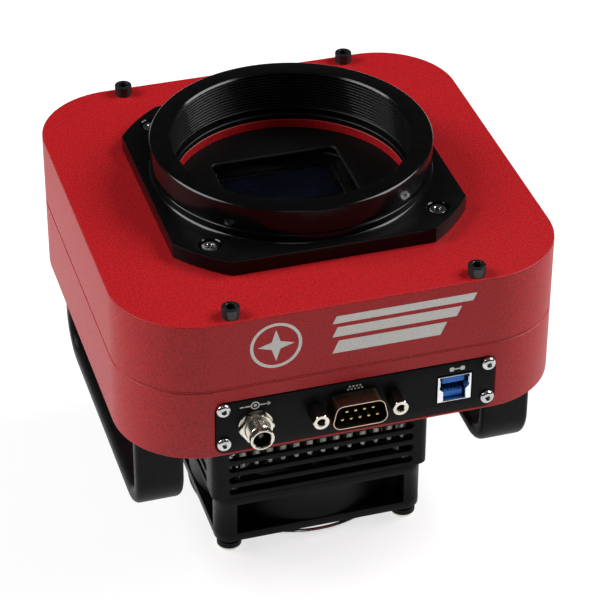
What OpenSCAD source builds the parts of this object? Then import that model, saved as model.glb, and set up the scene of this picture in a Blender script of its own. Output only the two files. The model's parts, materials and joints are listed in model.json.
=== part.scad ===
// Cooled astronomy camera: sealed sensor chamber in a square two-part housing,
// telescope adapter on the front, pin-fin cooler with a fan behind, two handles.
// Modules are drawn with z = 0 at the housing's rear face and +Z towards the telescope;
// placed() then moves the origin to the centre of the adapter's front face.

/* [Housing] */
// Width and depth of the square housing
body_w = 139.7; // [136:0.1:144]
// Radius of the housing's vertical corners
body_r = 26; // [22:0.5:30]
// Height of the rear shell
rear_h = 24.8; // [24:0.1:28]
// Height of the front shell
front_h = 23.6; // [22:0.1:25]
// Thickness of the side walls
wall = 9; // [8.5:0.1:9.5]
// Thickness of the front shell's plate
front_plate = 3.4; // [3:0.1:4]
// Thickness of the rear shell's floor
rear_floor = 4; // [3.5:0.1:4.5]

/* [Telescope adapter] */
// Half width of the adapter's square flange
flange_half = 46.8; // [46:0.1:48]
// Radius that trims the flange's corners
flange_r = 56.7; // [56:0.1:58]
// Thickness of the flange
flange_t = 5.2; // [4.5:0.1:6]
// Height of the ring above the flange
ring_h = 11.8; // [10:0.1:14]
// Outer radius of the ring
ring_r = 44.2; // [43.5:0.1:45]
// Minor radius of the 3 inch x 24 tpi internal thread
thread_minor_r = 37.53; // [37.4:0.01:37.7]
// Half spacing of the four adapter screws
adapter_screw_x = 36.1; // [35.5:0.1:36.5]

/* [Cooler] */
// Width of the fan frame
fan_w = 70; // [68:1:72]
// Depth of the fan frame
fan_t = 17.7; // [17:0.1:19]
// Spacing of the fan's screw holes
fan_pitch = 60; // [59:0.5:61]
// Number of fan blades
blade_count = 7; // [5:1:9]
// Height of the slotted shroud
shroud_h = 46.7; // [46.5:0.1:48]
// Pitch of the heat sink's pins
pin_pitch = 4.5; // [4.3:0.1:4.6]
// Pins in each row of the heat sink
pin_count = 14; // [10:2:14]
// Length of the heat sink's pins
pin_len = 38.8; // [30:0.1:40]

/* [Handles] */
// Distance from the camera's centre to a handle's inner side
handle_x = 49.3; // [48:0.1:51]
// Width of a handle's bar
handle_w = 15.3; // [12:0.1:17]
// Thickness of a handle's bar
handle_t = 5.5; // [5:0.1:7]
// Half length of a handle
handle_half = 50.5; // [48:0.1:52]
// Height of a handle
handle_h = 35.8; // [32:0.1:38]

/* [Connectors] */
// Width of the connector panel
panel_w = 88.4; // [86:0.1:90]
// Height of the connector panel
panel_h = 18.3; // [17.8:0.1:18.8]
// Sideways place of the power jack
power_x = -32; // [-33:0.1:-31]
// Sideways place of the serial port
serial_x = -0.76; // [-1.5:0.01:1.5]
// Sideways place of the USB port
usb_x = 31.1; // [30:0.1:32]

/* [Hidden] */

$fn = 96;
slack = 0.05;          // radial gap between a screw's shank and its hole
cut = 1;               // how far a cutting solid runs past a face

body_half = body_w / 2;
body_h = rear_h + front_h;
ring_z = body_h + flange_t;
front_height = ring_z + ring_h;
inner_half = body_half - wall;
inner_r = body_r - wall;

m3_r = 1.45;
m3_hole = m3_r + slack;
cover_screw_r = 1.7;
m4_r = 1.95;
m25_r = 1.2;
cover_x = 38.1;
cover_y = 66.2;

chamber_z = 20;
chamber_floor = 3;
chamber_x = 50;
chamber_front = -44;
chamber_back = 57;
chamber_wall = 4;
chamber_top = body_h - front_plate;
chamber_roof = 4.6;
window_r = 33;
window_z = chamber_top - 3.6;
window_t = 1.8;
tec_half = 20;
block_half = 25;
plug_y = 46;
plug_r = 6.5;

board_z = 9.5;
board_t = 1.6;
sensor_board_z = 31;
package_z = 37.2;

sink_half = 31.6;
shroud_x = 36.4;
shroud_y = 35.4;
shroud_wall = 1.6;
shroud_bottom = 1.3;
shroud_seat = -shroud_h + shroud_bottom;
shroud_split = shroud_y - 3.2;
slot_half = 31.2;
slot_h = 2.8;
slot_pitch = 4.56;
slot_z = -43.6;
slot_count = 9;

fan_top = -shroud_h - 0.4;
fan_bottom = fan_top - fan_t;
fan_bore = 33;
hub_r = 15;
shaft_r = 1.5;
bearing_r = 4;
wire_r = 0.8;
fan_head_r = 4.1;
fan_lead_x = 33.2;
fan_lead_y = 22;

panel_t = 2;
panel_y = -body_half - 0.3;
panel_back = panel_y + panel_t;
panel_z = 10.35;
panel_screw_x = 41.84;
panel_screw_z = 11.05;
panel_screw_dz = 6.3;
port_z = 11.1;
pin_z = 11.2;
power_z = 9.9;
barrel_r = 3.7;
usb_z = 10.4;
usb_w = 10.8;
usb_h = 9.6;
jack_half = 12.495;
jack_z = 11.27;

module placed() {
    translate([0, 0, -front_height])
        children();
}

module rounded_rect(w, d, r) {
    square([w - 2 * r, d], center = true);
    square([w, d - 2 * r], center = true);
    for (x = [-1, 1], y = [-1, 1])
        translate([x * (w / 2 - r), y * (d / 2 - r)])
            circle(r);
}

module rounded_plate(w, d, r, z0, z1) {
    translate([0, 0, z0])
        linear_extrude(z1 - z0)
            rounded_rect(w, d, r);
}

module centred_box(w, d, z0, z1) {
    translate([-w / 2, -d / 2, z0])
        cube([w, d, z1 - z0]);
}

module rod(r, z0, z1) {
    translate([0, 0, z0])
        cylinder(r = r, h = z1 - z0);
}

// a rod along Y
module y_rod(r, y0, y1) {
    translate([0, y0, 0])
        rotate([-90, 0, 0])
            cylinder(r = r, h = y1 - y0);
}

module at_corners(x, y) {
    for (i = [-1, 1], j = [-1, 1])
        translate([i * x, j * y, 0])
            children();
}

// A screw that points down: its head stands on z = 0 and has a hexagon socket.
module socket_screw(shank_r, length, head_r, head_h, key) {
    difference() {
        union() {
            rod(shank_r, -length, 0.1);
            rod(head_r, 0, head_h);
        }
        translate([0, 0, head_h / 2])
            cylinder(r = key / sqrt(3), h = head_h, $fn = 6);
    }
}

// ---------------------------------------------------------------- housing

module front_shell() {
    color([0.72, 0.12, 0.15]) placed() difference() {
        rounded_plate(body_w, body_w, body_r, rear_h, body_h);
        rounded_plate(2 * inner_half, 2 * inner_half, inner_r, rear_h - cut, chamber_top);
        rod(36.9, chamber_top - cut, body_h + cut);
        at_corners(cover_x, cover_y)
            rod(cover_screw_r + 0.2, rear_h - cut, body_h + cut);
        at_corners(adapter_screw_x, adapter_screw_x)
            rod(m3_hole, chamber_top - cut, body_h + cut);
        chamber_screw_places()
            rod(m3_hole, chamber_top - cut, chamber_top + 2.4);
    }
}

module rear_shell() {
    opening_half = 38;
    color([0.68, 0.11, 0.14]) placed() difference() {
        rounded_plate(body_w, body_w, body_r, 0, rear_h);
        rounded_plate(2 * inner_half, 2 * inner_half, inner_r, rear_floor, rear_h + cut);
        centred_box(63.6, 63.6, -cut, rear_floor + cut);
        gasket_groove();
        at_corners(cover_x, cover_y)
            rod(cover_screw_r + slack, rear_h - 7.6, rear_h + cut);
        at_corners(handle_x + handle_w / 2, handle_half - handle_t / 2)
            rod(m3_hole, -cut, rear_floor + cut);
        at_corners(40.3, 22)
            rod(m3_hole, -cut, rear_floor + cut);
        translate([0, plug_y, 0])
            rod(plug_r + 0.3, -cut, rear_floor + cut);
        translate([fan_lead_x, fan_lead_y, 0])
            rod(1.1, -cut, rear_floor + cut);
        translate([0, -body_half, panel_z])
            rotate([90, 0, 0])
                translate([0, 0, -(panel_t - 0.3)])
                    linear_extrude(3)
                        rounded_rect(panel_w + 0.2, panel_h + 0.2, 3.1);
        translate([-opening_half, -body_half - cut, 4.2])
            cube([2 * opening_half, wall + 2 * cut, 13.6]);
        panel_screw_places()
            y_rod(m25_r + slack, panel_back - cut, panel_back + 5);
    }
}

module gasket_groove() {
    difference() {
        rounded_plate(127.6, 127.6, 20, rear_h - 1.6, rear_h + cut);
        rounded_plate(124, 124, 18.2, rear_h - 2, rear_h + 2 * cut);
    }
}

module shell_gasket() {
    cord_r = 0.8;
    line_half = 62.9;
    line_r = 19.1;
    straight = line_half - line_r;
    color([0.1, 0.1, 0.1]) placed() translate([0, 0, rear_h - cord_r])
        for (a = [0 : 90 : 270])
            rotate([0, 0, a]) {
                translate([line_half, 0, 0])
                    y_rod(cord_r, -straight, straight);
                translate([straight, straight, 0])
                    rotate_extrude(angle = 90)
                        translate([line_r, 0])
                            circle(cord_r);
            }
}

module cover_screws() {
    color([0.1, 0.1, 0.1]) placed() translate([0, 0, body_h])
        at_corners(cover_x, cover_y)
            socket_screw(cover_screw_r, 29.8, 2.8, 3.5, 2.8);
}

// ---------------------------------------------------------------- telescope adapter

module telescope_adapter() {
    groove_z0 = ring_z + 2.9;
    groove_z1 = ring_z + 4.7;
    groove_depth = 0.6;
    color([0.08, 0.08, 0.09]) placed() difference() {
        union() {
            intersection() {
                centred_box(2 * flange_half, 2 * flange_half, body_h, ring_z);
                rod(flange_r, body_h, ring_z);
            }
            rotate_extrude()
                polygon([
                    [thread_minor_r - 1, body_h], [ring_r + 0.5, body_h],
                    [ring_r + 0.5, ring_z], [ring_r, ring_z + 0.5],
                    [ring_r, groove_z0], [ring_r - groove_depth, groove_z0 + 0.2],
                    [ring_r - groove_depth, groove_z1 - 0.2], [ring_r, groove_z1],
                    [ring_r, front_height - 0.4],
                    [ring_r - 0.4, front_height], [thread_minor_r - 1, front_height]
                ]);
        }
        rod(36.9, body_h - cut, body_h + cut * 3);
        rod(thread_minor_r + 0.9, body_h + 1.8, body_h + 3.6);
        rod(thread_minor_r, body_h + 2, front_height + cut);
        at_corners(adapter_screw_x, adapter_screw_x) {
            rod(m3_r + 0.2, body_h - cut, ring_z + cut);
            rod(3.3, ring_z - 2.6, ring_z + cut);
        }
    }
}

module adapter_screws() {
    color([0.8, 0.8, 0.8]) placed() translate([0, 0, ring_z - 2.6])
        at_corners(adapter_screw_x, adapter_screw_x)
            socket_screw(m3_r, 5.6, 2.7, 2.2, 2);
}

// ---------------------------------------------------------------- sensor chamber

module chamber_screw_places() {
    for (x = [-1, 1], y = [-36.5, 48])
        translate([x * 41.5, y, 0])
            children();
}

module chamber_box(x, y0, y1, r, z0, z1) {
    translate([0, (y0 + y1) / 2, 0])
        rounded_plate(2 * x, y1 - y0, r, z0, z1);
}

module chamber_body() {
    w = chamber_wall;
    color([0.16, 0.16, 0.17]) placed() difference() {
        chamber_box(chamber_x, chamber_front, chamber_back, 9, chamber_z, chamber_top);
        chamber_box(chamber_x - w, chamber_front + w, chamber_back - w, 5,
            chamber_z + chamber_floor, chamber_top - chamber_roof);
        centred_box(2 * tec_half + 2, 2 * tec_half + 2, chamber_z - cut, chamber_z + 5);
        rod(29.5, chamber_top - chamber_roof - cut, chamber_top + cut);
        rod(window_r + 0.2, window_z, chamber_top + cut);
        rod(40.1, chamber_top - 1, chamber_top + cut);
        chamber_screw_places()
            rod(m3_r + 0.2, chamber_top - chamber_roof - cut, chamber_top + cut);
        translate([0, plug_y, 0])
            rod(plug_r + slack, chamber_z - cut, chamber_z + 5);
        at_corners(22.7, 22.7)
            rod(m3_r + 0.2, chamber_z - cut, chamber_z + 5);
        translate([-11, chamber_front - cut, 25])
            cube([22, w + 2 * cut, 6]);
        at_corners(36, 36)
            rod(1.05, chamber_z + 1, chamber_z + 5);
    }
}

module chamber_screws() {
    head_z = chamber_top - chamber_roof;
    color([0.75, 0.75, 0.77]) placed()
        chamber_screw_places()
            translate([0, 0, head_z])
                rotate([180, 0, 0])
                    socket_screw(m3_r, 6.8, 2.75, 3, 2.5);
}

module window_retainer() {
    color([0.06, 0.06, 0.07]) placed() difference() {
        rod(40, chamber_top - 1, chamber_top);
        rounded_plate(41.3, 41.3, 2, chamber_top - 2, chamber_top + cut);
    }
}

module chamber_window() {
    color([0.75, 0.85, 0.95, 0.4]) placed()
        rod(window_r, window_z, window_z + window_t);
}

module window_o_ring() {
    ring_line = 31.5;
    cord_r = (chamber_top - 1 - window_z - window_t) / 2;
    color([0.15, 0.15, 0.15]) placed() translate([0, 0, window_z + window_t + cord_r])
        rotate_extrude()
            translate([ring_line, 0])
                circle(cord_r);
}

module sensor_package() {
    color([0.25, 0.23, 0.22]) placed() difference() {
        centred_box(54, 50, package_z, package_z + 2.4);
        centred_box(40, 40, package_z + 1.2, package_z + 3);
    }
}

module sensor_die() {
    color([0.08, 0.09, 0.14]) placed()
        centred_box(36.9, 36.9, package_z + 1.2, package_z + 1.9);
}

module sensor_glass() {
    color([0.8, 0.85, 0.9, 0.4]) placed()
        centred_box(46, 46, package_z + 2.4, package_z + 3);
}

module sensor_pins() {
    color([0.85, 0.7, 0.35]) placed()
        for (side = [-1, 1], i = [-9 : 9])
            translate([side * 24, i * 2.54, 0])
                rod(0.23, sensor_board_z - 1.4, package_z);
}

module sensor_board() {
    color([0.1, 0.35, 0.2]) placed() difference() {
        centred_box(82, 78, sensor_board_z, sensor_board_z + board_t);
        centred_box(41, 41, sensor_board_z - cut, sensor_board_z + board_t + cut);
        at_corners(36, 36)
            rod(1.3, sensor_board_z - cut, sensor_board_z + board_t + cut);
        for (side = [-1, 1], i = [-9 : 9])
            translate([side * 24, i * 2.54, 0])
                rod(0.3, sensor_board_z - cut, sensor_board_z + board_t + cut);
        translate([-11, -39 - cut, sensor_board_z - cut])
            cube([22, 5, 4]);
    }
}

module sensor_standoffs() {
    color([0.8, 0.72, 0.4]) placed()
        at_corners(36, 36) {
            translate([0, 0, chamber_z + chamber_floor])
                cylinder(r = 2.6, h = sensor_board_z - chamber_z - chamber_floor, $fn = 6);
            rod(1, chamber_z + 1.2, sensor_board_z + board_t + 0.5);
            rod(2, sensor_board_z + board_t, sensor_board_z + board_t + 1.2);
        }
}

module chamber_connector() {
    color([0.12, 0.12, 0.12]) placed() {
        translate([-11, chamber_front - 3, 25])
            cube([22, chamber_wall + 5, 6]);
        translate([-14, chamber_front - 1.5, 23.5])
            cube([28, 1.5, 9]);
    }
}

module sensor_cable() {
    strip_w = 18;
    color([0.75, 0.5, 0.2]) placed()
        translate([-strip_w / 2, 0, 0])
            rotate([90, 0, 90])
                linear_extrude(strip_w)
                    polygon([
                        [chamber_front - 3, 26], [chamber_front - 3, 26.4],
                        [-49.4, 26.4], [-49.4, 13.5], [-49, 13.5], [-49, 26]
                    ]);
}

// ---------------------------------------------------------------- cooler

module cold_finger() {
    color([0.8, 0.78, 0.74]) placed()
        centred_box(38, 38, chamber_z + 7, package_z);
}

module tec_module() {
    cell = 2.5;
    color([0.93, 0.93, 0.9]) placed() translate([0, 0, chamber_z + 3]) {
        centred_box(2 * tec_half, 2 * tec_half, 0, 0.8);
        centred_box(2 * tec_half, 2 * tec_half, 3.2, 4);
        for (i = [-6 : 2 : 6], j = [-6 : 2 : 6])
            translate([i * cell, j * cell, 0])
                centred_box(1.6, 1.6, 0.8, 3.2);
    }
}

module hot_block() {
    color([0.72, 0.72, 0.74]) placed() difference() {
        union() {
            centred_box(2 * block_half, 2 * block_half, 6, chamber_z);
            centred_box(2 * tec_half, 2 * tec_half, 6, chamber_z + 3);
        }
        at_corners(22.7, 22.7)
            rod(m3_r + 0.2, 5, chamber_z + cut);
    }
}

module heat_sink() {
    reach = (pin_count - 1) / 2;
    color([0.82, 0.81, 0.77]) placed() difference() {
        union() {
            centred_box(2 * sink_half, 2 * sink_half, 0, 6);
            translate([0, 0, -pin_len])
                linear_extrude(pin_len + 0.5)
                    for (i = [-reach : reach], j = [-reach : reach])
                        translate([i * pin_pitch, j * pin_pitch])
                            circle(1, $fn = 24);
        }
        at_corners(22.7, 22.7)
            rod(m3_hole, 1, 6 + cut);
    }
}

module heat_sink_screws() {
    color([0.75, 0.75, 0.77]) placed()
        translate([0, 0, chamber_z + chamber_floor])
            at_corners(22.7, 22.7)
                socket_screw(m3_r, 21.5, 2.4, 2, 2);
}

module desiccant_plug() {
    color([0.75, 0.75, 0.76]) placed() translate([0, plug_y, 0])
        difference() {
            union() {
                rod(8.6, -3.2, 0);
                rod(plug_r, -1, 34);
            }
            rod(plug_r - 1.2, 4, 34 + cut);
            for (a = [0 : 60 : 300], z = [27, 31])
                rotate([0, 0, a])
                    translate([0, 0, z])
                        y_rod(0.7, plug_r - 2, plug_r + cut);
            translate([-6, -0.8, -4])
                cube([12, 1.6, 2]);
        }
}

// The shroud's whole shape. Its four walls and its floor are separate sheets, cut from it.
module shroud_shape() {
    difference() {
        union() {
            rounded_plate(2 * shroud_x, 2 * shroud_y, 3, -shroud_h, 0);
            rounded_plate(89, 56, 3, -2, 0);
        }
        rounded_plate(2 * (shroud_x - shroud_wall), 2 * (shroud_y - shroud_wall), 1.4,
            -shroud_h + shroud_bottom, cut);
        rod(fan_bore, -shroud_h - cut, -shroud_h + 3);
        at_corners(fan_pitch / 2, fan_pitch / 2)
            rod(m4_r + 0.2, -shroud_h - cut, -shroud_h + 3);
        at_corners(40.3, 22)
            rod(m3_r + 0.2, -3, cut);
        translate([fan_lead_x, fan_lead_y, 0])
            rod(1.1, -shroud_h - cut, -shroud_h + 3);
        for (i = [0 : slot_count - 1], turn = [0, 90])
            rotate([0, 0, turn])
                translate([0, 0, slot_z + i * slot_pitch])
                    slot_cutter(turn == 0 ? slot_half : slot_half - 4);
    }
}

module shroud_sheet(low, high) {
    intersection() {
        shroud_shape();
        translate(low)
            cube(high - low);
    }
}

// four slotted sheets with a hairline gap at each joint
module shroud_walls() {
    color([0.09, 0.09, 0.1]) placed() {
        shroud_sheet([-50, -shroud_y, shroud_seat], [50, -shroud_split - slack, cut]);
        shroud_sheet([-50, shroud_split + slack, shroud_seat], [50, shroud_y, cut]);
        shroud_sheet([-50, -shroud_split, shroud_seat], [0, shroud_split, cut]);
        shroud_sheet([0, -shroud_split, shroud_seat], [50, shroud_split, cut]);
    }
}

module shroud_floor() {
    color([0.09, 0.09, 0.1]) placed()
        shroud_sheet([-50, -50, -shroud_h - cut], [50, 50, shroud_seat]);
}

// a slot with round ends that runs right through along Y
module slot_cutter(half) {
    translate([0, 50, 0])
        rotate([90, 0, 0])
            linear_extrude(100)
                rounded_rect(2 * half, slot_h, slot_h / 2 - 0.01);
}

module shroud_screws() {
    color([0.2, 0.2, 0.2]) placed()
        at_corners(40.3, 22)
            translate([0, 0, -2])
                rotate([180, 0, 0])
                    socket_screw(m3_r, 5.6, 2.5, 1.7, 2);
}

// ---------------------------------------------------------------- fan

module fan_ring_plate(z0, z1) {
    rounded_plate(fan_w, fan_w, 5, z0, z1);
}

module fan_frame() {
    flange = 2.9;
    post = 6.5;
    color([0.07, 0.07, 0.07]) placed() {
        difference() {
            union() {
                fan_ring_plate(fan_top - flange, fan_top);
                fan_ring_plate(fan_bottom, fan_bottom + flange);
                rod(fan_bore + 1.6, fan_bottom, fan_top);
                intersection() {
                    fan_ring_plate(fan_bottom, fan_top);
                    at_corners(fan_w / 2 - post / 2, fan_w / 2 - post / 2)
                        centred_box(post, post, fan_bottom, fan_top);
                }
            }
            rod(fan_bore, fan_bottom - cut, fan_top + cut);
            at_corners(fan_pitch / 2, fan_pitch / 2)
                rod(m4_r + 0.2, fan_bottom - cut, fan_top + cut);
            translate([fan_lead_x, fan_lead_y, 0])
                rod(1.1, fan_top - 1.2, fan_top + cut);
        }
        difference() {
            union() {
                rod(16.5, fan_top - 1.6, fan_top);
                for (a = [0 : 90 : 270])
                    rotate([0, 0, a + 32])
                        translate([14, -1.6, fan_top - 2.4])
                            cube([fan_bore - 14 + 0.6, 3.2, 2.4]);
                rod(bearing_r + 1, fan_bottom + 3.5, fan_top);
            }
            rod(bearing_r, fan_bottom + 2, fan_top - 1);
        }
    }
}

module fan_stator() {
    color([0.7, 0.4, 0.2]) placed() difference() {
        union() {
            rod(6.5, fan_bottom + 4, fan_top - 1.8);
            for (a = [0 : 90 : 270])
                rotate([0, 0, a + 45]) {
                    translate([5, -1.5, fan_bottom + 5])
                        cube([5.5, 3, 6]);
                    intersection() {
                        translate([9.5, -5, fan_bottom + 4.6])
                            cube([3, 10, 6.8]);
                        rod(11.8, fan_bottom + 4, fan_top);
                    }
                }
        }
        rod(bearing_r + 1 + slack, fan_bottom + 2, fan_top);
    }
}

module fan_bearings() {
    color([0.8, 0.8, 0.82]) placed()
        for (z = [fan_bottom + 4, fan_top - 4.2])
            difference() {
                rod(bearing_r, z, z + 3);
                rod(shaft_r + 0.03, z - cut, z + 3 + cut);
            }
}

module fan_rotor() {
    hub_top = fan_bottom + 14;
    blade_tip = fan_bore - 0.8;
    color([0.1, 0.1, 0.1]) placed() difference() {
        union() {
            rod(hub_r, fan_bottom + 1.2, hub_top);
            for (i = [0 : blade_count - 1])
                rotate([0, 0, i * 360 / blade_count])
                    fan_blade(blade_tip);
        }
        rod(hub_r - 1.2, fan_bottom + 2.6, hub_top + cut);
        rod(shaft_r, fan_bottom + 1.9, fan_bottom + 3);
    }
}

module fan_blade(tip_r) {
    intersection() {
        difference() {
            rod(tip_r, fan_bottom + 1.4, fan_bottom + 13.6);
            rod(hub_r - 0.6, fan_bottom, fan_top);
        }
        translate([0, 0, fan_bottom + 7.5])
            rotate([40, 0, 0])
                translate([0, -9.5, -0.6])
                    cube([tip_r + 2, 19, 1.2]);
    }
}

module fan_shaft() {
    color([0.85, 0.85, 0.87]) placed()
        rod(shaft_r, fan_bottom + 1.9, fan_top - 1.3);
}

module fan_magnet() {
    color([0.25, 0.22, 0.2]) placed() difference() {
        rod(hub_r - 1.2, fan_bottom + 3.2, fan_bottom + 13.4);
        rod(hub_r - 2.6, fan_bottom + 2, fan_bottom + 14);
    }
}

module fan_guard() {
    ring_z0 = fan_bottom - 2.2;
    foot_z = fan_bottom - wire_r;
    corner = fan_pitch / 2 * sqrt(2);
    loop_r = 3.3;
    arm_start = 8;
    arm_end = corner - 5.2;
    color([0.85, 0.85, 0.86]) placed() {
        for (r = [9, 17.5, 26, 34.4])
            guard_ring(r, ring_z0);
        for (a = [0 : 90 : 270])
            rotate([0, 0, a + 45]) {
                guard_rod(arm_start, arm_end, ring_z0 + 0.4);
                guard_rod(arm_end, corner - loop_r, foot_z);
                translate([arm_end, 0, 0])
                    rod(wire_r, ring_z0 + 0.1, fan_bottom);
                translate([corner, 0, 0])
                    guard_ring(loop_r, foot_z);
            }
    }
}

// a straight wire that runs outwards from x0 to x1
module guard_rod(x0, x1, z) {
    translate([x0, 0, z])
        rotate([0, 90, 0])
            cylinder(r = wire_r - 0.1, h = x1 - x0);
}

module guard_ring(r, z) {
    translate([0, 0, z])
        rotate_extrude($fn = 64)
            translate([r, 0])
                circle(wire_r, $fn = 32);
}

module fan_screws() {
    color([0.8, 0.78, 0.6]) placed()
        at_corners(fan_pitch / 2, fan_pitch / 2)
            translate([0, 0, fan_bottom - 2 * wire_r])
                rotate([180, 0, 0]) {
                    rod(m4_r, -27.2, 0.1);
                    rod(fan_head_r, 0, 3.8);
                }
}

module fan_nuts() {
    color([0.8, 0.8, 0.78]) placed()
        at_corners(fan_pitch / 2, fan_pitch / 2)
            translate([0, 0, -shroud_h + shroud_bottom])
                difference() {
                    cylinder(r = 7 / sqrt(3), h = 3.2, $fn = 6);
                    rod(m4_r + slack, -cut, 5);
                }
}

module fan_lead() {
    lead_r = 0.8;
    color([0.15, 0.15, 0.15]) placed()
        translate([fan_lead_x, fan_lead_y, 0])
            rod(lead_r, fan_top - 1, board_z);
}

// ---------------------------------------------------------------- electronics

module main_board() {
    color([0.05, 0.3, 0.18]) placed() difference() {
        translate([0, 5, 0])
            rounded_plate(114, 104, 14, board_z, board_z + board_t);
        centred_box(56, 56, board_z - cut, board_z + board_t + cut);
        translate([0, plug_y, 0])
            rod(plug_r + 1, board_z - cut, board_z + board_t + cut);
        board_screw_places()
            rod(m3_r + 0.2, board_z - cut, board_z + board_t + cut);
    }
}

module board_screw_places() {
    for (x = [-46, 46], y = [-38, 38])
        translate([x, y, 0])
            children();
}

module main_board_parts() {
    top = board_z + board_t;
    color([0.12, 0.12, 0.13]) placed() {
        translate([-46, -8, top])
            cube([15, 15, 1.6]);
        translate([34, -12, top])
            cube([12, 12, 1.4]);
        translate([34, 8, top])
            cube([10, 10, 4]);
        translate([-44, 16, top])
            cube([10, 10, 4.2]);
        for (x = [-20, -12, 14, 22])
            translate([x, -37, top])
                rod(3, 0, 6);
        for (x = [-30, -18, 18, 30])
            translate([x - 3, 50, top])
                cube([6, 4, 1.2]);
        translate([-10, -46.8, top])
            cube([20, 5, 2.4]);
    }
}

module board_standoffs() {
    color([0.8, 0.72, 0.4]) placed()
        board_screw_places() {
            translate([0, 0, rear_floor])
                cylinder(r = 3, h = board_z - rear_floor, $fn = 6);
            rod(m3_r, board_z - cut, board_z + board_t + cut);
            rod(2.7, board_z + board_t, board_z + board_t + 1.8);
        }
}

module interface_board() {
    color([0.05, 0.3, 0.18]) placed()
        difference() {
            translate([-37, -57.2, 4.6])
                cube([74, board_t, 20]);
            for (row = [-1, 1], i = [0 : (row < 0 ? 4 : 3)])
                translate([serial_x + (i - (row < 0 ? 2 : 1.5)) * 2.77, 0,
                    pin_z + row * 1.42])
                    y_rod(0.6, -58, -55);
        }
}

module interface_cable() {
    strip_w = 26;
    color([0.75, 0.75, 0.72]) placed()
        translate([-strip_w / 2 + 24, 0, 0])
            rotate([90, 0, 90])
                linear_extrude(strip_w)
                    polygon([
                        [-55.6, 21], [-55.6, 21.5], [-51.6, 21.5], [-51.6, 8.8],
                        [-47, 8.8], [-47, 8.3], [-52.1, 8.3], [-52.1, 21]
                    ]);
}

// ---------------------------------------------------------------- connectors

module panel_screw_places() {
    for (x = [-1, 1], z = [-1, 1])
        translate([x * panel_screw_x, 0, panel_screw_z + z * panel_screw_dz])
            children();
}

// Serial port's outline, with its long side at the bottom
module d_outline(w, h, r) {
    slope = h * tan(10) / 2;
    hull() {
        for (x = [-1, 1]) {
            translate([x * (w / 2 - r), -h / 2 + r])
                circle(r, $fn = 32);
            translate([x * (w / 2 - r - slope), h / 2 - r])
                circle(r, $fn = 32);
        }
    }
}

module along_panel(x, z, y0, y1) {
    translate([x, y1, z])
        rotate([90, 0, 0])
            linear_extrude(y1 - y0)
                children();
}

module connector_panel() {
    color([0.13, 0.13, 0.14]) placed() difference() {
        along_panel(0, panel_z, panel_y, panel_back)
            rounded_rect(panel_w, panel_h, 3);
        panel_screw_places()
            y_rod(m25_r + 0.2, panel_y - cut, panel_back + cut);
        translate([power_x, 0, power_z])
            y_rod(4.1, panel_y - cut, panel_back + cut);
        along_panel(serial_x, port_z, panel_y - cut, panel_back + cut)
            d_outline(18.2, 9.4, 3);
        for (s = [-1, 1])
            translate([serial_x + s * jack_half, 0, jack_z])
                y_rod(1.6, panel_y - cut, panel_back + cut);
        along_panel(usb_x, usb_z, panel_y - cut, panel_back + cut)
            square([usb_w + 0.8, usb_h + 0.8], center = true);
    }
}

module panel_screws() {
    color([0.8, 0.8, 0.82]) placed()
        panel_screw_places()
            translate([0, panel_y, 0])
                rotate([90, 0, 0])
                    socket_screw(m25_r, 6, 2.3, 1.3, 1.5);
}

module power_jack_body() {
    color([0.7, 0.66, 0.58]) placed() translate([power_x, 0, power_z])
        difference() {
            union() {
                y_rod(barrel_r, panel_y - 8.1, panel_y - 2.5);
                y_rod(barrel_r - 0.2, panel_y - 3, -62);
                y_rod(5.4, panel_back, panel_back + 1.6);
            }
            y_rod(2.75, panel_y - 8.1 - cut, -61);
        }
}

module power_jack_nut() {
    color([0.75, 0.74, 0.7]) placed() translate([power_x, 0, power_z])
        difference() {
            translate([0, panel_y, 0])
                rotate([90, 0, 0])
                    cylinder(r = 9.6 / sqrt(3), h = 2.4, $fn = 6);
            y_rod(barrel_r - 0.2 + slack, panel_y - 4, panel_y + cut);
        }
}

module power_jack_insulator() {
    color([0.1, 0.1, 0.1]) placed() translate([power_x, 0, power_z])
        difference() {
            y_rod(2.75, panel_y + 1.5, -62);
            y_rod(1.05, panel_y, -61);
        }
}

module power_jack_pin() {
    color([0.85, 0.8, 0.6]) placed() translate([power_x, 0, power_z])
        y_rod(1.05, panel_y - 6.5, -60);
}

module serial_shell() {
    color([0.42, 0.33, 0.24]) placed() difference() {
        union() {
            along_panel(serial_x, port_z, panel_y - 6, panel_back + 0.8)
                d_outline(17.4, 8.8, 2.7);
            along_panel(serial_x, port_z, panel_back, panel_back + 0.8)
                rounded_rect(30.8, 12.4, 1.5);
        }
        along_panel(serial_x, port_z, panel_y - 7, panel_back + cut)
            d_outline(16.5, 7.9, 2.25);
        for (s = [-1, 1])
            translate([serial_x + s * jack_half, 0, jack_z])
                y_rod(1.6, panel_y - cut, panel_back + cut);
    }
}

module serial_insulator() {
    color([0.1, 0.08, 0.07]) placed() difference() {
        union() {
            along_panel(serial_x, port_z, panel_y + 0.3, panel_back + 0.9)
                d_outline(16.3, 7.7, 2.15);
            along_panel(serial_x, port_z, panel_back + 0.85, -59.5)
                rounded_rect(19, 10, 1);
        }
        serial_pin_places()
            y_rod(0.5, panel_y - cut, -59);
    }
}

module serial_pin_places() {
    for (row = [-1, 1], i = [0 : (row < 0 ? 4 : 3)])
        translate([serial_x + (i - (row < 0 ? 2 : 1.5)) * 2.77, 0, pin_z + row * 1.42])
            children();
}

module serial_pins() {
    color([0.85, 0.68, 0.3]) placed()
        serial_pin_places()
            y_rod(0.5, panel_y - 5.4, -54.8);
}

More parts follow.
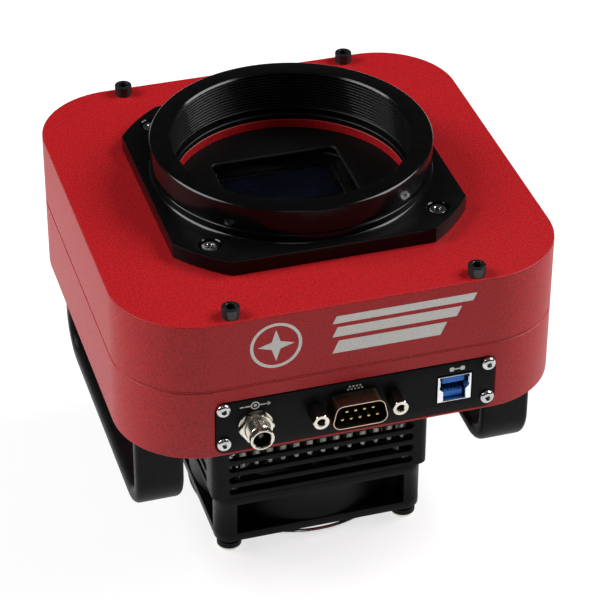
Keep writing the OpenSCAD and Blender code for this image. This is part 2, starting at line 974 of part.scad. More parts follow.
module jackscrews() {
    color([0.8, 0.79, 0.74]) placed()
        for (s = [-1, 1])
            translate([serial_x + s * jack_half, 0, jack_z])
                difference() {
                    union() {
                        translate([0, panel_y, 0])
                            rotate([90, 0, 0])
                                cylinder(r = 4.75 / sqrt(3), h = 6.6, $fn = 6);
                        y_rod(1.4, panel_y - 0.1, panel_back + 6);
                        translate([0, panel_back + 3, 0])
                            rotate([90, 0, 0])
                                cylinder(r = 4.75 / sqrt(3), h = 2.2, $fn = 6);
                    }
                    y_rod(1.1, panel_y - 8, panel_y - 1.6);
                }
}

module usb_shell() {
    depth = -57.2;
    color([0.78, 0.79, 0.8]) placed() difference() {
        along_panel(usb_x, usb_z, panel_y - 0.4, depth)
            square([usb_w, usb_h], center = true);
        along_panel(usb_x, usb_z, panel_y - cut, depth - 1)
            usb_opening();
    }
}

// USB port's opening: a wide upper part that steps in to a narrow lower part
module usb_opening() {
    polygon([
        [-3.55, -4.35], [3.55, -4.35], [3.55, -0.9], [4.75, 0.3],
        [4.75, 4.4], [-4.75, 4.4], [-4.75, 0.3], [-3.55, -0.9]
    ]);
}

module usb_tongues() {
    front = panel_y + 1.1;
    back = -58.2;
    color([0.1, 0.35, 0.75]) placed() {
        along_panel(usb_x, usb_z + 2.4, front, back)
            square([7.6, 3.3], center = true);
        along_panel(usb_x, usb_z - 2.9, front, back)
            square([6.4, 2.6], center = true);
        along_panel(usb_x, usb_z, back - 1.5, back)
            usb_opening();
    }
}

module usb_contacts() {
    pitch = 1.2;
    color([0.8, 0.75, 0.6]) placed() {
        for (i = [-1.5 : 1.5])
            translate([usb_x + i * pitch - 0.25, panel_y + 1.5, usb_z + 0.52])
                cube([0.5, 8, 0.23]);
        for (i = [-2 : 2])
            translate([usb_x + i * pitch - 0.25, panel_y + 1.5, usb_z - 1.6])
                cube([0.5, 8, 0.23]);
    }
}

// ---------------------------------------------------------------- handles

module handle_profile(half, height, r) {
    translate([-half, -height + r])
        square([2 * half, height - r + 0.001]);
    translate([-half + r, -height])
        square([2 * (half - r), r + 0.001]);
    for (s = [-1, 1])
        translate([s * (half - r), -height + r])
            circle(r);
}

module handle(side) {
    bend = 14;
    width_x = side > 0 ? handle_x : -handle_x - handle_w;
    translate([width_x, 0, 0])
        difference() {
            rotate([90, 0, 90])
                linear_extrude(handle_w)
                    difference() {
                        intersection() {
                            handle_profile(handle_half, handle_h, bend);
                            translate([-handle_half, -handle_h])
                                square([2 * handle_half, handle_h]);
                        }
                        handle_profile(handle_half - handle_t, handle_h - handle_t,
                            bend - handle_t);
                    }
            for (s = [-1, 1])
                translate([handle_w / 2, s * (handle_half - handle_t / 2), 0])
                    rod(m3_hole, -12, cut);
        }
}

module handle_left() {
    color([0.1, 0.1, 0.1]) placed()
        handle(-1);
}

module handle_right() {
    color([0.1, 0.1, 0.1]) placed()
        handle(1);
}

module handle_screws() {
    color([0.75, 0.75, 0.77]) placed()
        at_corners(handle_x + handle_w / 2, handle_half - handle_t / 2)
            translate([0, 0, rear_floor])
                socket_screw(m3_r, 14, 2.5, 2.8, 2.5);
}

front_shell();
rear_shell();
shell_gasket();
cover_screws();
telescope_adapter();
adapter_screws();
chamber_body();
chamber_screws();
window_retainer();
chamber_window();
window_o_ring();
sensor_package();
sensor_die();
sensor_glass();
sensor_pins();
sensor_board();
sensor_standoffs();
chamber_connector();
sensor_cable();
cold_finger();
tec_module();
hot_block();
heat_sink();
heat_sink_screws();
desiccant_plug();
main_board();
main_board_parts();
board_standoffs();
interface_board();
interface_cable();
connector_panel();
panel_screws();
power_jack_body();
power_jack_nut();
power_jack_insulator();
power_jack_pin();
serial_shell();
serial_insulator();
serial_pins();
jackscrews();
usb_shell();
usb_tongues();
usb_contacts();
shroud_walls();
shroud_floor();
shroud_screws();
fan_frame();
fan_stator();
fan_bearings();
fan_rotor();
fan_shaft();
fan_magnet();
fan_guard();
fan_screws();
fan_nuts();
fan_lead();
handle_left();
handle_right();
handle_screws();
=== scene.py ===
"""Looks of the cooled astronomy camera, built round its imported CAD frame.

Shapes are worked out in millimetres in the row frame (origin at the centre of the telescope
ring's front face, +Z towards the telescope) and scaled to metres when a piece is made.
"""
import json
from math import acos, atan2, cos, hypot, pi, radians, sin, sqrt, tan

import bpy
import bmesh
from mathutils import Matrix, Vector


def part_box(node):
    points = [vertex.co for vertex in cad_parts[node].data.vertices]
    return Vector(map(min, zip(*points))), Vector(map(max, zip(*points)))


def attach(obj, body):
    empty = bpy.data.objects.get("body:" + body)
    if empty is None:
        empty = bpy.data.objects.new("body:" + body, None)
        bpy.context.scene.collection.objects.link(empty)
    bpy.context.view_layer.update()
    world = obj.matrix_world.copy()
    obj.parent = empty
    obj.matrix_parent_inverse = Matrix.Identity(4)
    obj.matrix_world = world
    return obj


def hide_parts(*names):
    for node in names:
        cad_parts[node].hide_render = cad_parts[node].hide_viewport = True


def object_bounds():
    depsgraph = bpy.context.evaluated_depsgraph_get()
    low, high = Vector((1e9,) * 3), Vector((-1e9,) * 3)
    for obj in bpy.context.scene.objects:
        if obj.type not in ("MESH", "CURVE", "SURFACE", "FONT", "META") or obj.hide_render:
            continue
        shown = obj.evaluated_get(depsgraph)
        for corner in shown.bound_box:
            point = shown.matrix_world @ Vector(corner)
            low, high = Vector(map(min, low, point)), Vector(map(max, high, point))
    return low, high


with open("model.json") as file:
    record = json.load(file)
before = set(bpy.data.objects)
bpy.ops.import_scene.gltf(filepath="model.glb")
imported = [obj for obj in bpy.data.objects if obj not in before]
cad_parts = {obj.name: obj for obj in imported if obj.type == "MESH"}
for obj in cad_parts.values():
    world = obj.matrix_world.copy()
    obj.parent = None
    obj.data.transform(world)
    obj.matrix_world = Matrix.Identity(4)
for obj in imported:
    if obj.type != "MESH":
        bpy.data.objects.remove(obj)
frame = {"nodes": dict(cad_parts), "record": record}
cad_bounds = [list(corner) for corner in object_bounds()]

MM = 0.001
TAU = 2 * pi
CAMERA_BODY = "camera"
FAN_BODY = "fan_wheel"
NODE_SLOT = {row["node"]: row["material_slot"] for row in frame["record"]["subparts"]}


def box_mm(node):
    """Lowest and highest corner of a CAD node, in millimetres."""
    low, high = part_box(node)
    return low / MM, high / MM


# ---------- camera

def make_camera():
    """A long lens looking down on the connector side from the front left."""
    azimuth, elevation, roll = (radians(a) for a in (-16.91, 35.05, 0.227))
    distance = 0.8632
    target = Vector((0.00312, 0.0, -0.06412))
    back = Vector((sin(azimuth) * cos(elevation),
                   -cos(azimuth) * cos(elevation), sin(elevation)))
    right = Vector((0, 0, 1)).cross(back).normalized()
    up = back.cross(right)
    turned_right = right * cos(roll) + up * sin(roll)
    turned_up = up * cos(roll) - right * sin(roll)
    data = bpy.data.cameras.new("camera")
    data.sensor_width = 36
    data.lens = 159.25
    data.clip_start = 0.05
    cam = bpy.data.objects.new("camera", data)
    bpy.context.scene.collection.objects.link(cam)
    rotation = Matrix((turned_right, turned_up, back)).transposed()
    cam.matrix_world = Matrix.Translation(target + back * distance) @ rotation.to_4x4()
    bpy.context.scene.camera = cam


# ---------- outlines

def circle(r, n):
    return [(r * cos(TAU * i / n), r * sin(TAU * i / n)) for i in range(n)]


def rounded_polygon(corners, radius, steps=6):
    """A convex polygon, corners in anticlockwise order, with an arc at each corner."""
    points = []
    count = len(corners)
    for k in range(count):
        here = Vector(corners[k])
        before = (Vector(corners[k - 1]) - here).normalized()
        after = (Vector(corners[(k + 1) % count]) - here).normalized()
        half = before.angle(after) / 2
        centre = here + (before + after).normalized() * (radius / sin(half))
        start = here + before * (radius / tan(half)) - centre
        for i in range(steps + 1):
            a = (pi - 2 * half) * i / steps
            points.append(tuple(centre + start * cos(a) + Vector((-start.y, start.x)) * sin(a)))
    return points


def rounded_rect(w, d, r, steps=6, x=0.0, y=0.0):
    corners = [(x + w / 2, y - d / 2), (x + w / 2, y + d / 2),
               (x - w / 2, y + d / 2), (x - w / 2, y - d / 2)]
    return rounded_polygon(corners, r, steps)


def polar(radius_at, angles):
    return [(radius_at(a) * cos(a), radius_at(a) * sin(a)) for a in angles]


def square_radius(half, corner):
    """Distance to a rounded square's edge as a function of direction."""
    inner = half - corner

    def at(angle):
        c, s = abs(cos(angle)), abs(sin(angle))
        if s * half <= inner * c:
            return half / c
        if c * half <= inner * s:
            return half / s
        along = inner * (c + s)
        return along + sqrt(along ** 2 - 2 * inner ** 2 + corner ** 2)
    return at


def hexagon_radius(across_flats):
    def at(angle):
        return across_flats / 2 / cos(angle % (TAU / 6) - TAU / 12)
    return at


def even_angles(n):
    return [TAU * i / n for i in range(n)]


# ---------- solids as (vertices, faces)

def at_z(outline, z):
    return [(x, y, z) for x, y in outline]


def loft(sections, ring=False):
    """Joins loops of equal length. The ends are closed, or joined to each other in a ring."""
    n = len(sections[0])
    count = len(sections)
    verts = [p for section in sections for p in section]
    faces = []
    for k in range(count if ring else count - 1):
        a = k * n
        b = (k + 1) % count * n
        for i in range(n):
            j = (i + 1) % n
            faces.append((a + i, a + j, b + j, b + i))
    if not ring:
        faces.append(tuple(reversed(range(n))))
        faces.append(tuple(range((count - 1) * n, count * n)))
    return verts, faces


def lathe(profile, n=64, ring=False):
    """Turns (radius, z) points about Z."""
    return loft([at_z(circle(r, n), z) for r, z in profile], ring)


def prism(outline, z0, z1, bevel=0.0, shrink=None):
    """An extruded outline. With a bevel, shrink(distance) gives the outline moved inwards."""
    if not bevel:
        return loft([at_z(outline, z0), at_z(outline, z1)])
    small = shrink(bevel)
    return loft([at_z(small, z0), at_z(outline, z0 + bevel),
                 at_z(outline, z1 - bevel), at_z(small, z1)])


def slab(w, d, r, z0, z1, bevel, steps=6):
    """A rounded rectangle's prism with bevelled edges."""
    return prism(rounded_rect(w, d, r, steps), z0, z1, bevel,
                 lambda m: rounded_rect(w - 2 * m, d - 2 * m, r - m, steps))


def block(low, high, bevel=0.15):
    """A box with bevelled edges."""
    w, d = high[0] - low[0], high[1] - low[1]
    x, y = (low[0] + high[0]) / 2, (low[1] + high[1]) / 2
    edge = min(bevel, w / 3, d / 3, (high[2] - low[2]) / 3)
    return prism(rounded_rect(w, d, edge * 1.01, 2, x, y), low[2], high[2], edge,
                 lambda m: rounded_rect(w - 2 * m, d - 2 * m, edge * 0.5, 2, x, y))


def sweep(path, outline, side, closed=False):
    """Carries an outline of (across, out) points along a flat path; side is across it."""
    side = Vector(side).normalized()
    path = [Vector(p) for p in path]
    count = len(path)
    sections = []
    for k in range(count):
        before = path[k - 1] if closed or k else path[k]
        after = path[(k + 1) % count] if closed or k + 1 < count else path[k]
        tangent = (after - before).normalized()
        out = tangent.cross(side)
        sections.append([tuple(path[k] + side * u + out * v) for u, v in outline])
    return loft(sections, closed)


def turned(part, matrix):
    verts, faces = part
    return [tuple(matrix @ Vector(v)) for v in verts], faces


def moved(part, x=0.0, y=0.0, z=0.0):
    return turned(part, Matrix.Translation((x, y, z)))


def spun(part, angle):
    return turned(part, Matrix.Rotation(angle, 4, "Z"))


def facing_front(part, x, y, z):
    """Turns a part that stands on +Z so that it points along -Y, and puts it at a place."""
    return turned(part, Matrix.Translation((x, y, z)) @ Matrix.Rotation(pi / 2, 4, "X"))


def merged(parts):
    verts, faces = [], []
    for part_verts, part_faces in parts:
        start = len(verts)
        verts += part_verts
        faces += [tuple(start + i for i in f) for f in part_faces]
    return verts, faces


# ---------- objects

def solid(name, part):
    """An object with a part's mesh, its faces turned outwards."""
    verts, faces = part
    mesh = bpy.data.meshes.new(name)
    mesh.from_pydata([(x * MM, y * MM, (z + BASE) * MM) for x, y, z in verts], [], faces)
    made = bmesh.new()
    made.from_mesh(mesh)
    bmesh.ops.recalc_face_normals(made, faces=made.faces)
    made.to_mesh(mesh)
    made.free()
    obj = bpy.data.objects.new(name, mesh)
    bpy.context.scene.collection.objects.link(obj)
    return obj


def bake_modifiers(obj):
    graph = bpy.context.evaluated_depsgraph_get()
    mesh = bpy.data.meshes.new_from_object(obj.evaluated_get(graph))
    old = obj.data
    obj.modifiers.clear()
    obj.data = mesh
    mesh.name = obj.name
    bpy.data.meshes.remove(old)


def combine(obj, part, operation):
    """Cuts a part from an object's mesh, or joins it on."""
    tool = solid("tool", part)
    change = obj.modifiers.new("change", "BOOLEAN")
    change.operation = operation
    change.solver = "EXACT"
    change.object = tool
    bake_modifiers(obj)
    mesh = tool.data
    bpy.data.objects.remove(tool)
    bpy.data.meshes.remove(mesh)


def bevelled(obj, width):
    """Rounds an object's edges that are sharper than 50 degrees."""
    change = obj.modifiers.new("bevel", "BEVEL")
    change.width = width * MM
    change.segments = 2
    change.limit_method = "ANGLE"
    change.angle_limit = radians(50)
    change.use_clamp_overlap = True
    bake_modifiers(obj)


def finish_piece(obj, material, body=CAMERA_BODY, node=None, sharp=32):
    """Smooths, colours and fastens a piece, and hides the CAD node it stands for."""
    obj.data.shade_smooth()
    obj.data.set_sharp_from_angle(angle=radians(sharp))
    obj.data.materials.clear()
    obj.data.materials.append(material)
    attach(obj, body)
    if node:
        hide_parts(node)
    return obj


def colour_ends(obj, material, facing, least=0.6):
    """Gives a second material to the faces that look one way."""
    obj.data.materials.append(material)
    direction = Vector(facing)
    for polygon in obj.data.polygons:
        if polygon.normal.dot(direction) > least:
            polygon.material_index = 1
    return obj


def second_material(obj, material, chosen):
    """Gives another material to the faces whose middle, in millimetres, is chosen."""
    obj.data.materials.append(material)
    for polygon in obj.data.polygons:
        if chosen(polygon.center / MM - Vector((0, 0, BASE))):
            polygon.material_index = 1
    return obj


def piece(name, parts, material, body=CAMERA_BODY, node=None, sharp=32):
    return finish_piece(solid(name, merged(parts)), material, body, node, sharp)


# ---------- materials

class Look:
    """A node material: a Principled shader with helpers for procedural detail."""

    def __init__(self, name, color, rough=0.5, metal=0.0, **sockets):
        self.material = bpy.data.materials.new(name)
        self.material.use_nodes = True
        self.nodes = self.material.node_tree.nodes
        self.links = self.material.node_tree.links
        self.shader = self.nodes["Principled BSDF"]
        self.color = (*color, 1)
        self.shader.inputs["Base Color"].default_value = self.color
        self.shader.inputs["Roughness"].default_value = rough
        self.shader.inputs["Metallic"].default_value = metal
        for key, value in sockets.items():
            self.shader.inputs[key.replace("_", " ")].default_value = value
        self.normal = None

    def place(self, stretch=(1, 1, 1)):
        """Object coordinates, stretched for grain that runs one way."""
        coords = self.nodes.new("ShaderNodeTexCoord")
        mapping = self.nodes.new("ShaderNodeMapping")
        mapping.inputs["Scale"].default_value = stretch
        self.links.new(coords.outputs["Object"], mapping.inputs["Vector"])
        return mapping.outputs["Vector"]

    def noise(self, size_mm, detail=3, rough=0.5, stretch=(1, 1, 1)):
        node = self.nodes.new("ShaderNodeTexNoise")
        node.inputs["Scale"].default_value = 1 / (size_mm * MM)
        node.inputs["Detail"].default_value = detail
        node.inputs["Roughness"].default_value = rough
        self.links.new(self.place(stretch), node.inputs["Vector"])
        return node.outputs["Fac"]

    def ramp(self, value, low, high, start=0.3, end=0.7):
        node = self.nodes.new("ShaderNodeMapRange")
        for key, number in (("From Min", start), ("From Max", end), ("To Min", low), ("To Max", high)):
            node.inputs[key].default_value = number
        self.links.new(value, node.inputs["Value"])
        return node.outputs["Result"]

    def vary_color(self, value, darker, lighter, start=0.3, end=0.7):
        """Mixes the base colour between a darker and a lighter tone."""
        mix = self.nodes.new("ShaderNodeMix")
        mix.data_type = "RGBA"
        mix.inputs["A"].default_value = tuple(c * darker for c in self.color[:3]) + (1,)
        mix.inputs["B"].default_value = tuple(min(1, c * lighter) for c in self.color[:3]) + (1,)
        self.links.new(self.ramp(value, 0, 1, start, end), mix.inputs["Factor"])
        self.links.new(mix.outputs["Result"], self.shader.inputs["Base Color"])
        return self

    def vary_rough(self, value, low, high):
        self.links.new(self.ramp(value, low, high), self.shader.inputs["Roughness"])
        return self

    def bump(self, value, height_mm, strength=1.0):
        node = self.nodes.new("ShaderNodeBump")
        node.inputs["Strength"].default_value = strength
        node.inputs["Distance"].default_value = height_mm * MM
        self.links.new(value, node.inputs["Height"])
        if self.normal:
            self.links.new(self.normal, node.inputs["Normal"])
        self.normal = node.outputs["Normal"]
        self.links.new(self.normal, self.shader.inputs["Normal"])
        return self


def brushed_metal(name, color, rough, grain_mm=0.15, metal=1.0):
    look = Look(name, color, rough, metal)
    streaks = look.noise(grain_mm, 4, 0.6, (1, 1, 6))
    look.vary_color(look.noise(2.5, 2), 0.86, 1.08)
    look.vary_rough(streaks, rough * 0.75, rough * 1.35)
    return look.bump(streaks, 0.004).material


def red_anodised():
    """Bead-blasted red anodising: a fine even sparkle of grain under a satin sheen."""
    look = Look("red_anodised", (0.30, 0.0052, 0.0076), 0.46, 0.0, Specular_IOR_Level=0.25)
    grain = look.noise(0.55, 2, 0.6)
    look.vary_color(grain, 0.7, 1.34, 0.36, 0.64)
    look.vary_rough(look.noise(0.5, 2), 0.4, 0.54)
    return look.bump(grain, 0.03, 0.7).material


def coating(name, color, rough, shine, tone, gloss, grain):
    """A painted or anodised skin. The tone and gloss are (patch size, detail, low, high), and the
    grain is (size, height)."""
    look = Look(name, color, rough, 0.0, Specular_IOR_Level=shine)
    look.vary_color(look.noise(*tone[:2]), *tone[2:])
    look.vary_rough(look.noise(*gloss[:2]), *gloss[2:])
    return look.bump(look.noise(grain[0], 2), grain[1]).material


def moulded_plastic(name, color, rough, shine=0.3):
    return coating(name, color, rough, shine, (6, 3, 0.85, 1.15),
                   (1.2, 3, rough * 0.85, rough * 1.15), (0.12, 0.008))


def matte_black(name, rough):
    return coating(name, (0.0014, 0.0013, 0.0014), rough, 0.11, (2, 2, 0.8, 1.25),
                   (0.8, 2, rough * 0.88, rough * 1.12), (0.3, 0.002))


def sensor_look():
    """Dark silicon with a faint blue cast and fine read-out lines."""
    look = Look("silicon", (0.003, 0.0038, 0.008), 0.2, 0.0, Specular_IOR_Level=0.2)
    wave = look.nodes.new("ShaderNodeTexWave")
    wave.inputs["Scale"].default_value = 900
    look.links.new(look.place(), wave.inputs["Vector"])
    look.vary_color(wave.outputs["Fac"], 0.85, 1.15, 0.2, 0.8)
    return look.vary_rough(look.noise(3, 2), 0.12, 0.2).material


def glass_look():
    look = Look("window_glass", (1, 1, 1), 0.02, 0.0, IOR=1.12, Transmission_Weight=1.0)
    look.vary_rough(look.noise(8, 2), 0.0, 0.03)
    return look.material


def circuit_board():
    look = Look("circuit_board", (0.02, 0.15, 0.06), 0.35)
    look.vary_color(look.noise(1.2, 1, 0.3), 0.75, 1.25, 0.45, 0.55)
    return look.bump(look.noise(0.8, 1), 0.01).material


def white_print():
    look = Look("white_print", (0.52, 0.50, 0.47), 0.5)
    look.vary_color(look.noise(0.25, 2), 0.86, 1.1)
    return look.bump(look.noise(0.2, 1), 0.004).material


LOOKS = {
    "red_anodised": red_anodised(),
    "black_anodised": coating("black_anodised", (0.0018, 0.0016, 0.0018), 0.16, 0.22,
                              (4, 2, 0.8, 1.3), (1.5, 3, 0.13, 0.2), (0.6, 0.0006)),
    # matte_black is the window retainer's own finish; on the fan screws' heads and the guard's loops under
    # the fan it is painted shade.
    "matte_black": matte_black("matte_black", 0.55),
    "bore_black": matte_black("bore_black", 0.4),
    "panel_black": coating("panel_black", (0.0032, 0.0032, 0.0034), 0.42, 0.07,
                           (1.5, 3, 0.8, 1.25), (0.5, 2, 0.36, 0.48), (0.18, 0.008)),
    "black_paint": coating("black_paint", (0.0045, 0.0045, 0.0047), 0.4, 0.08,
                           (3, 3, 0.8, 1.3), (0.8, 2, 0.36, 0.5), (0.35, 0.012)),
    "dark_chamber": moulded_plastic("dark_chamber", (0.03, 0.03, 0.032), 0.6),
    "bare_aluminium": brushed_metal("bare_aluminium", (0.88, 0.85, 0.78), 0.42),
    # A near-black, half-metallic copy of the aluminium: painted shade for the heat sink's inner pins.
    "shaded_aluminium": brushed_metal("shaded_aluminium", (0.012, 0.0115, 0.011), 0.6, metal=0.4),
    "black_screws": brushed_metal("black_screws", (0.035, 0.034, 0.036), 0.26, 0.1, 0.7),
    "steel_screws": brushed_metal("steel_screws", (0.52, 0.52, 0.52), 0.2),
    "zinc_screws": brushed_metal("zinc_screws", (0.74, 0.73, 0.66), 0.22),
    "chrome_wire": brushed_metal("chrome_wire", (0.80, 0.80, 0.82), 0.09),
    "nickel": brushed_metal("nickel", (0.66, 0.62, 0.54), 0.2),
    "bronze_shell": brushed_metal("bronze_shell", (0.10, 0.075, 0.05), 0.3),
    "bronze_rim": brushed_metal("bronze_rim", (0.62, 0.46, 0.36), 0.25),
    # Nickel darkened as painted shade: the power jack's pin inside its barrel and the jackscrews' sides.
    "dark_nickel": brushed_metal("dark_nickel", (0.09, 0.085, 0.08), 0.3),
    "bright_steel": brushed_metal("bright_steel", (0.74, 0.75, 0.76), 0.16),
    "gold_contacts": brushed_metal("gold_contacts", (0.85, 0.60, 0.28), 0.2),
    "brass": brushed_metal("brass", (0.72, 0.58, 0.28), 0.25),
    "gasket": moulded_plastic("gasket", (0.018, 0.018, 0.018), 0.6),
    "black_plastic": moulded_plastic("black_plastic", (0.0042, 0.0042, 0.0044), 0.38, shine=0.08),
    "blue_plastic": moulded_plastic("blue_plastic", (0.012, 0.13, 0.52), 0.3),
    "window_glass": glass_look(),
    "silicon": sensor_look(),
    "ceramic": moulded_plastic("ceramic", (0.008, 0.0075, 0.007), 0.5, shine=0.2),
    "ceramic_white": moulded_plastic("ceramic_white", (0.82, 0.82, 0.79), 0.55),
    "board": circuit_board(),
    "amber_film": moulded_plastic("amber_film", (0.45, 0.2, 0.04), 0.3),
    "grey_ribbon": moulded_plastic("grey_ribbon", (0.45, 0.45, 0.43), 0.5),
    "copper_windings": brushed_metal("copper_windings", (0.6, 0.28, 0.12), 0.3),
    "magnet": moulded_plastic("magnet", (0.06, 0.056, 0.052), 0.6),
    "white_print": white_print(),
}


def colour_frame():
    for name, obj in frame["nodes"].items():
        obj.data.materials.clear()
        obj.data.materials.append(LOOKS[NODE_SLOT[name]])
        obj.data.shade_smooth()
        obj.data.set_sharp_from_angle(angle=radians(32))


colour_frame()

# ---------- driving sizes
# Heights below are measured from the housing's rear face, BASE in the row frame.

BASE = box_mm("rear_shell")[0].z
BODY_HALF = box_mm("rear_shell")[1].x
SEAM = box_mm("front_shell")[0].z - BASE
BODY_TOP = box_mm("front_shell")[1].z - BASE
RING_TOP = box_mm("telescope_adapter")[1].z - BASE
BODY_CORNER = 26.0
WALL = 9.0
PLATE = 3.4
FLOOR = 4.0
BORE = 36.9

FLANGE_HALF = box_mm("telescope_adapter")[1].x
FLANGE_TRIM = 56.7
FLANGE_TOP = BODY_TOP + 5.2
RING_R = 44.2
THREAD_MINOR = 37.53
THREAD_MAJOR = 38.1
THREAD_PITCH = 25.4 / 24
COVER_SCREW_AT = (38.1, 66.2)
ADAPTER_SCREW_AT = 36.1

PANEL_FRONT = box_mm("connector_panel")[0].y
PANEL_HALF = box_mm("connector_panel")[1].x
PANEL_LOW = box_mm("connector_panel")[0].z - BASE
PANEL_HIGH = box_mm("connector_panel")[1].z - BASE
PANEL_T = 2.0

FAN_HALF = box_mm("fan_frame")[1].x
FAN_TOP = box_mm("fan_frame")[1].z - BASE
FAN_BOTTOM = box_mm("fan_frame")[0].z - BASE
FAN_BORE = 33.0
FAN_SCREW = 30.0
GUARD_WIRE = 0.8

SHROUD_X = 36.4
SHROUD_Y = 35.4
SHROUD_LOW = box_mm("shroud_floor")[0].z - BASE
SHROUD_FLANGE = (89, 56)
SHROUD_FLANGE_T = 2
SHROUD_SCREW_AT = (40.3, 22)


def made(name, parts, body=CAMERA_BODY, sharp=32):
    """A piece that stands for the CAD node of the same name."""
    return piece(name, parts, LOOKS[NODE_SLOT[name]], body, name, sharp=sharp)


def corners(x, y):
    return [(i * x, j * y) for i in (-1, 1) for j in (-1, 1)]


# ---------- housing

def crossing_angles(tangent):
    """Eight directions mirrored about the axes and the diagonals."""
    base = [tangent, pi / 2 - tangent]
    return [k * pi / 2 + a for k in range(4) for a in base]


ROUND_ANGLES = sorted(even_angles(240) + crossing_angles(atan2(BODY_HALF - BODY_CORNER, BODY_HALF)))


def housing_loop(z, inset=0.0):
    return at_z(polar(square_radius(BODY_HALF - inset, BODY_CORNER - inset), ROUND_ANGLES), z)


def round_loop(z, r, angles=ROUND_ANGLES):
    return at_z(polar(lambda a: r, angles), z)


def round_loops(pairs, angles=ROUND_ANGLES):
    """Round loops from (z, radius) pairs."""
    return [round_loop(z, r, angles) for z, r in pairs]


def edge_arc(z_edge, radius, down=True, steps=5):
    """(z, inset) pairs that round an outer edge, from the wall onto the face."""
    sign = 1 if down else -1
    pairs = []
    for k in range(steps + 1):
        a = pi / 2 * k / steps
        pairs.append((z_edge - sign * radius * (1 - sin(a)), radius * (1 - cos(a))))
    return pairs


def make_front_shell():
    under = BODY_TOP - PLATE
    sections = [housing_loop(SEAM + 0.02, 0.3), housing_loop(SEAM + 0.3, 0.0)]
    sections += [housing_loop(z, inset) for z, inset in edge_arc(BODY_TOP, 0.5)]
    sections += round_loops([(BODY_TOP, BORE + 0.5), (BODY_TOP - 0.4, BORE),
                             (under + 0.2, BORE), (under, BORE + 0.2)])
    sections += [housing_loop(under, WALL), housing_loop(SEAM + 0.02, WALL)]
    return made("front_shell", [loft(sections, ring=True)])


def make_rear_shell():
    sections = [housing_loop(z, inset) for z, inset in reversed(edge_arc(0, 0.35, down=False))]
    sections += [housing_loop(SEAM - 0.75, 0.0), housing_loop(SEAM - 0.6, 0.22),
                 housing_loop(SEAM - 0.02, 0.22), housing_loop(SEAM - 0.02, WALL)]
    opening = square_radius(31.8, 1.5)
    sections += [housing_loop(FLOOR, WALL), at_z(polar(opening, ROUND_ANGLES), FLOOR),
                 at_z(polar(opening, ROUND_ANGLES), 0)]
    shell = solid("rear_shell", loft(sections, ring=True))
    middle = (PANEL_LOW + PANEL_HIGH) / 2
    width, height = 2 * PANEL_HALF, PANEL_HIGH - PANEL_LOW
    mouth = [at_z(rounded_rect(width + 0.3 + m, height + 0.3 + m, 3.15 + m / 2, 8), z)
             for z, m in ((-1.75, 0), (-0.25, 0), (0.02, 0.5), (1, 0.5))]
    combine(shell, facing_front(loft(mouth), 0, -BODY_HALF, middle), "DIFFERENCE")
    pocket = prism(rounded_rect(76, 13.6, 1.5), -WALL - 1, 0)
    combine(shell, facing_front(pocket, 0, -BODY_HALF, 11), "DIFFERENCE")
    return finish_piece(shell, LOOKS["red_anodised"], node="rear_shell")


# ---------- screws

SCREW_ANGLES = even_angles(48)


def hex_loop(z, flats, limit, angles=SCREW_ANGLES):
    """A hexagon's outline with its corners cut off at a radius."""
    hexagon = hexagon_radius(flats)
    return at_z(polar(lambda a: min(hexagon(a), limit), angles), z)


def socket_head(head_r, head_h, key, floor=None, edge=0.3, knurl=0.0):
    """A cap screw's head standing on z = 0, with a bevelled hexagon socket."""
    floor = head_h * 0.35 if floor is None else floor

    def ring(r, z, cut=0.0):
        return [((r - cut * (i % 2)) * cos(a), (r - cut * (i % 2)) * sin(a), z)
                for i, a in enumerate(SCREW_ANGLES)]

    def socket(width, z):
        return at_z(polar(hexagon_radius(width), SCREW_ANGLES), z)

    rim = key / sqrt(3) + 0.12
    return loft([ring(head_r - 0.15, 0), ring(head_r, 0.15), ring(head_r, 0.3, knurl),
                 ring(head_r, head_h - edge - 0.15, knurl), ring(head_r, head_h - edge),
                 ring(head_r - edge * 0.35, head_h - edge * 0.3), ring(head_r - edge, head_h),
                 ring(rim, head_h), socket(key, head_h - 0.15), socket(key, floor),
                 ring(key * 0.3, floor - 0.25)])


def button_head(head_r, head_h, key):
    """A domed head with a hexagon socket, standing on z = 0."""
    top_r = key / sqrt(3) + 0.25
    sections = [at_z(circle(head_r - 0.1, 48), 0), at_z(circle(head_r, 48), 0.12)]
    steps = 6
    for k in range(steps + 1):
        a = pi / 2 * k / steps
        sections.append(at_z(circle(top_r + (head_r - top_r) * cos(a), 48),
                             0.22 + (head_h - 0.22) * sin(a)))
    sections.append(at_z(circle(top_r - 0.12, 48), head_h))
    sections.append(at_z(polar(hexagon_radius(key), SCREW_ANGLES), head_h - 0.15))
    sections.append(at_z(polar(hexagon_radius(key), SCREW_ANGLES), head_h * 0.3))
    return loft(sections)


def shank(r, length, pitch=0.5):
    """A threaded shank below z = 0, drawn with ring grooves."""
    profile = [(r, 0.05)]
    depth = pitch * 0.45
    z = -0.8
    while z > -length + pitch:
        profile += [(r, z), (r - depth, z - pitch / 2)]
        z -= pitch
    profile += [(r - depth, -length + 0.1), (r - depth - 0.2, -length)]
    return lathe(list(reversed(profile)), 24)


def make_cover_screws():
    screw = merged([socket_head(2.8, 3.5, 2.8, edge=0.35, knurl=0.07), shank(1.7, 29.8, 0.8)])
    parts = [moved(spun(screw, 0.35 * k), x, y, BODY_TOP)
             for k, (x, y) in enumerate(corners(*COVER_SCREW_AT))]
    return made("cover_screws", parts, sharp=38)


def make_adapter_screws():
    screw = merged([socket_head(2.7, 2.2, 2.0, edge=0.25), shank(1.45, 5.6)])
    parts = [moved(spun(screw, 0.4 * k), x, y, FLANGE_TOP - 2.6)
             for k, (x, y) in enumerate(corners(ADAPTER_SCREW_AT, ADAPTER_SCREW_AT))]
    return made("adapter_screws", parts)


# ---------- telescope adapter

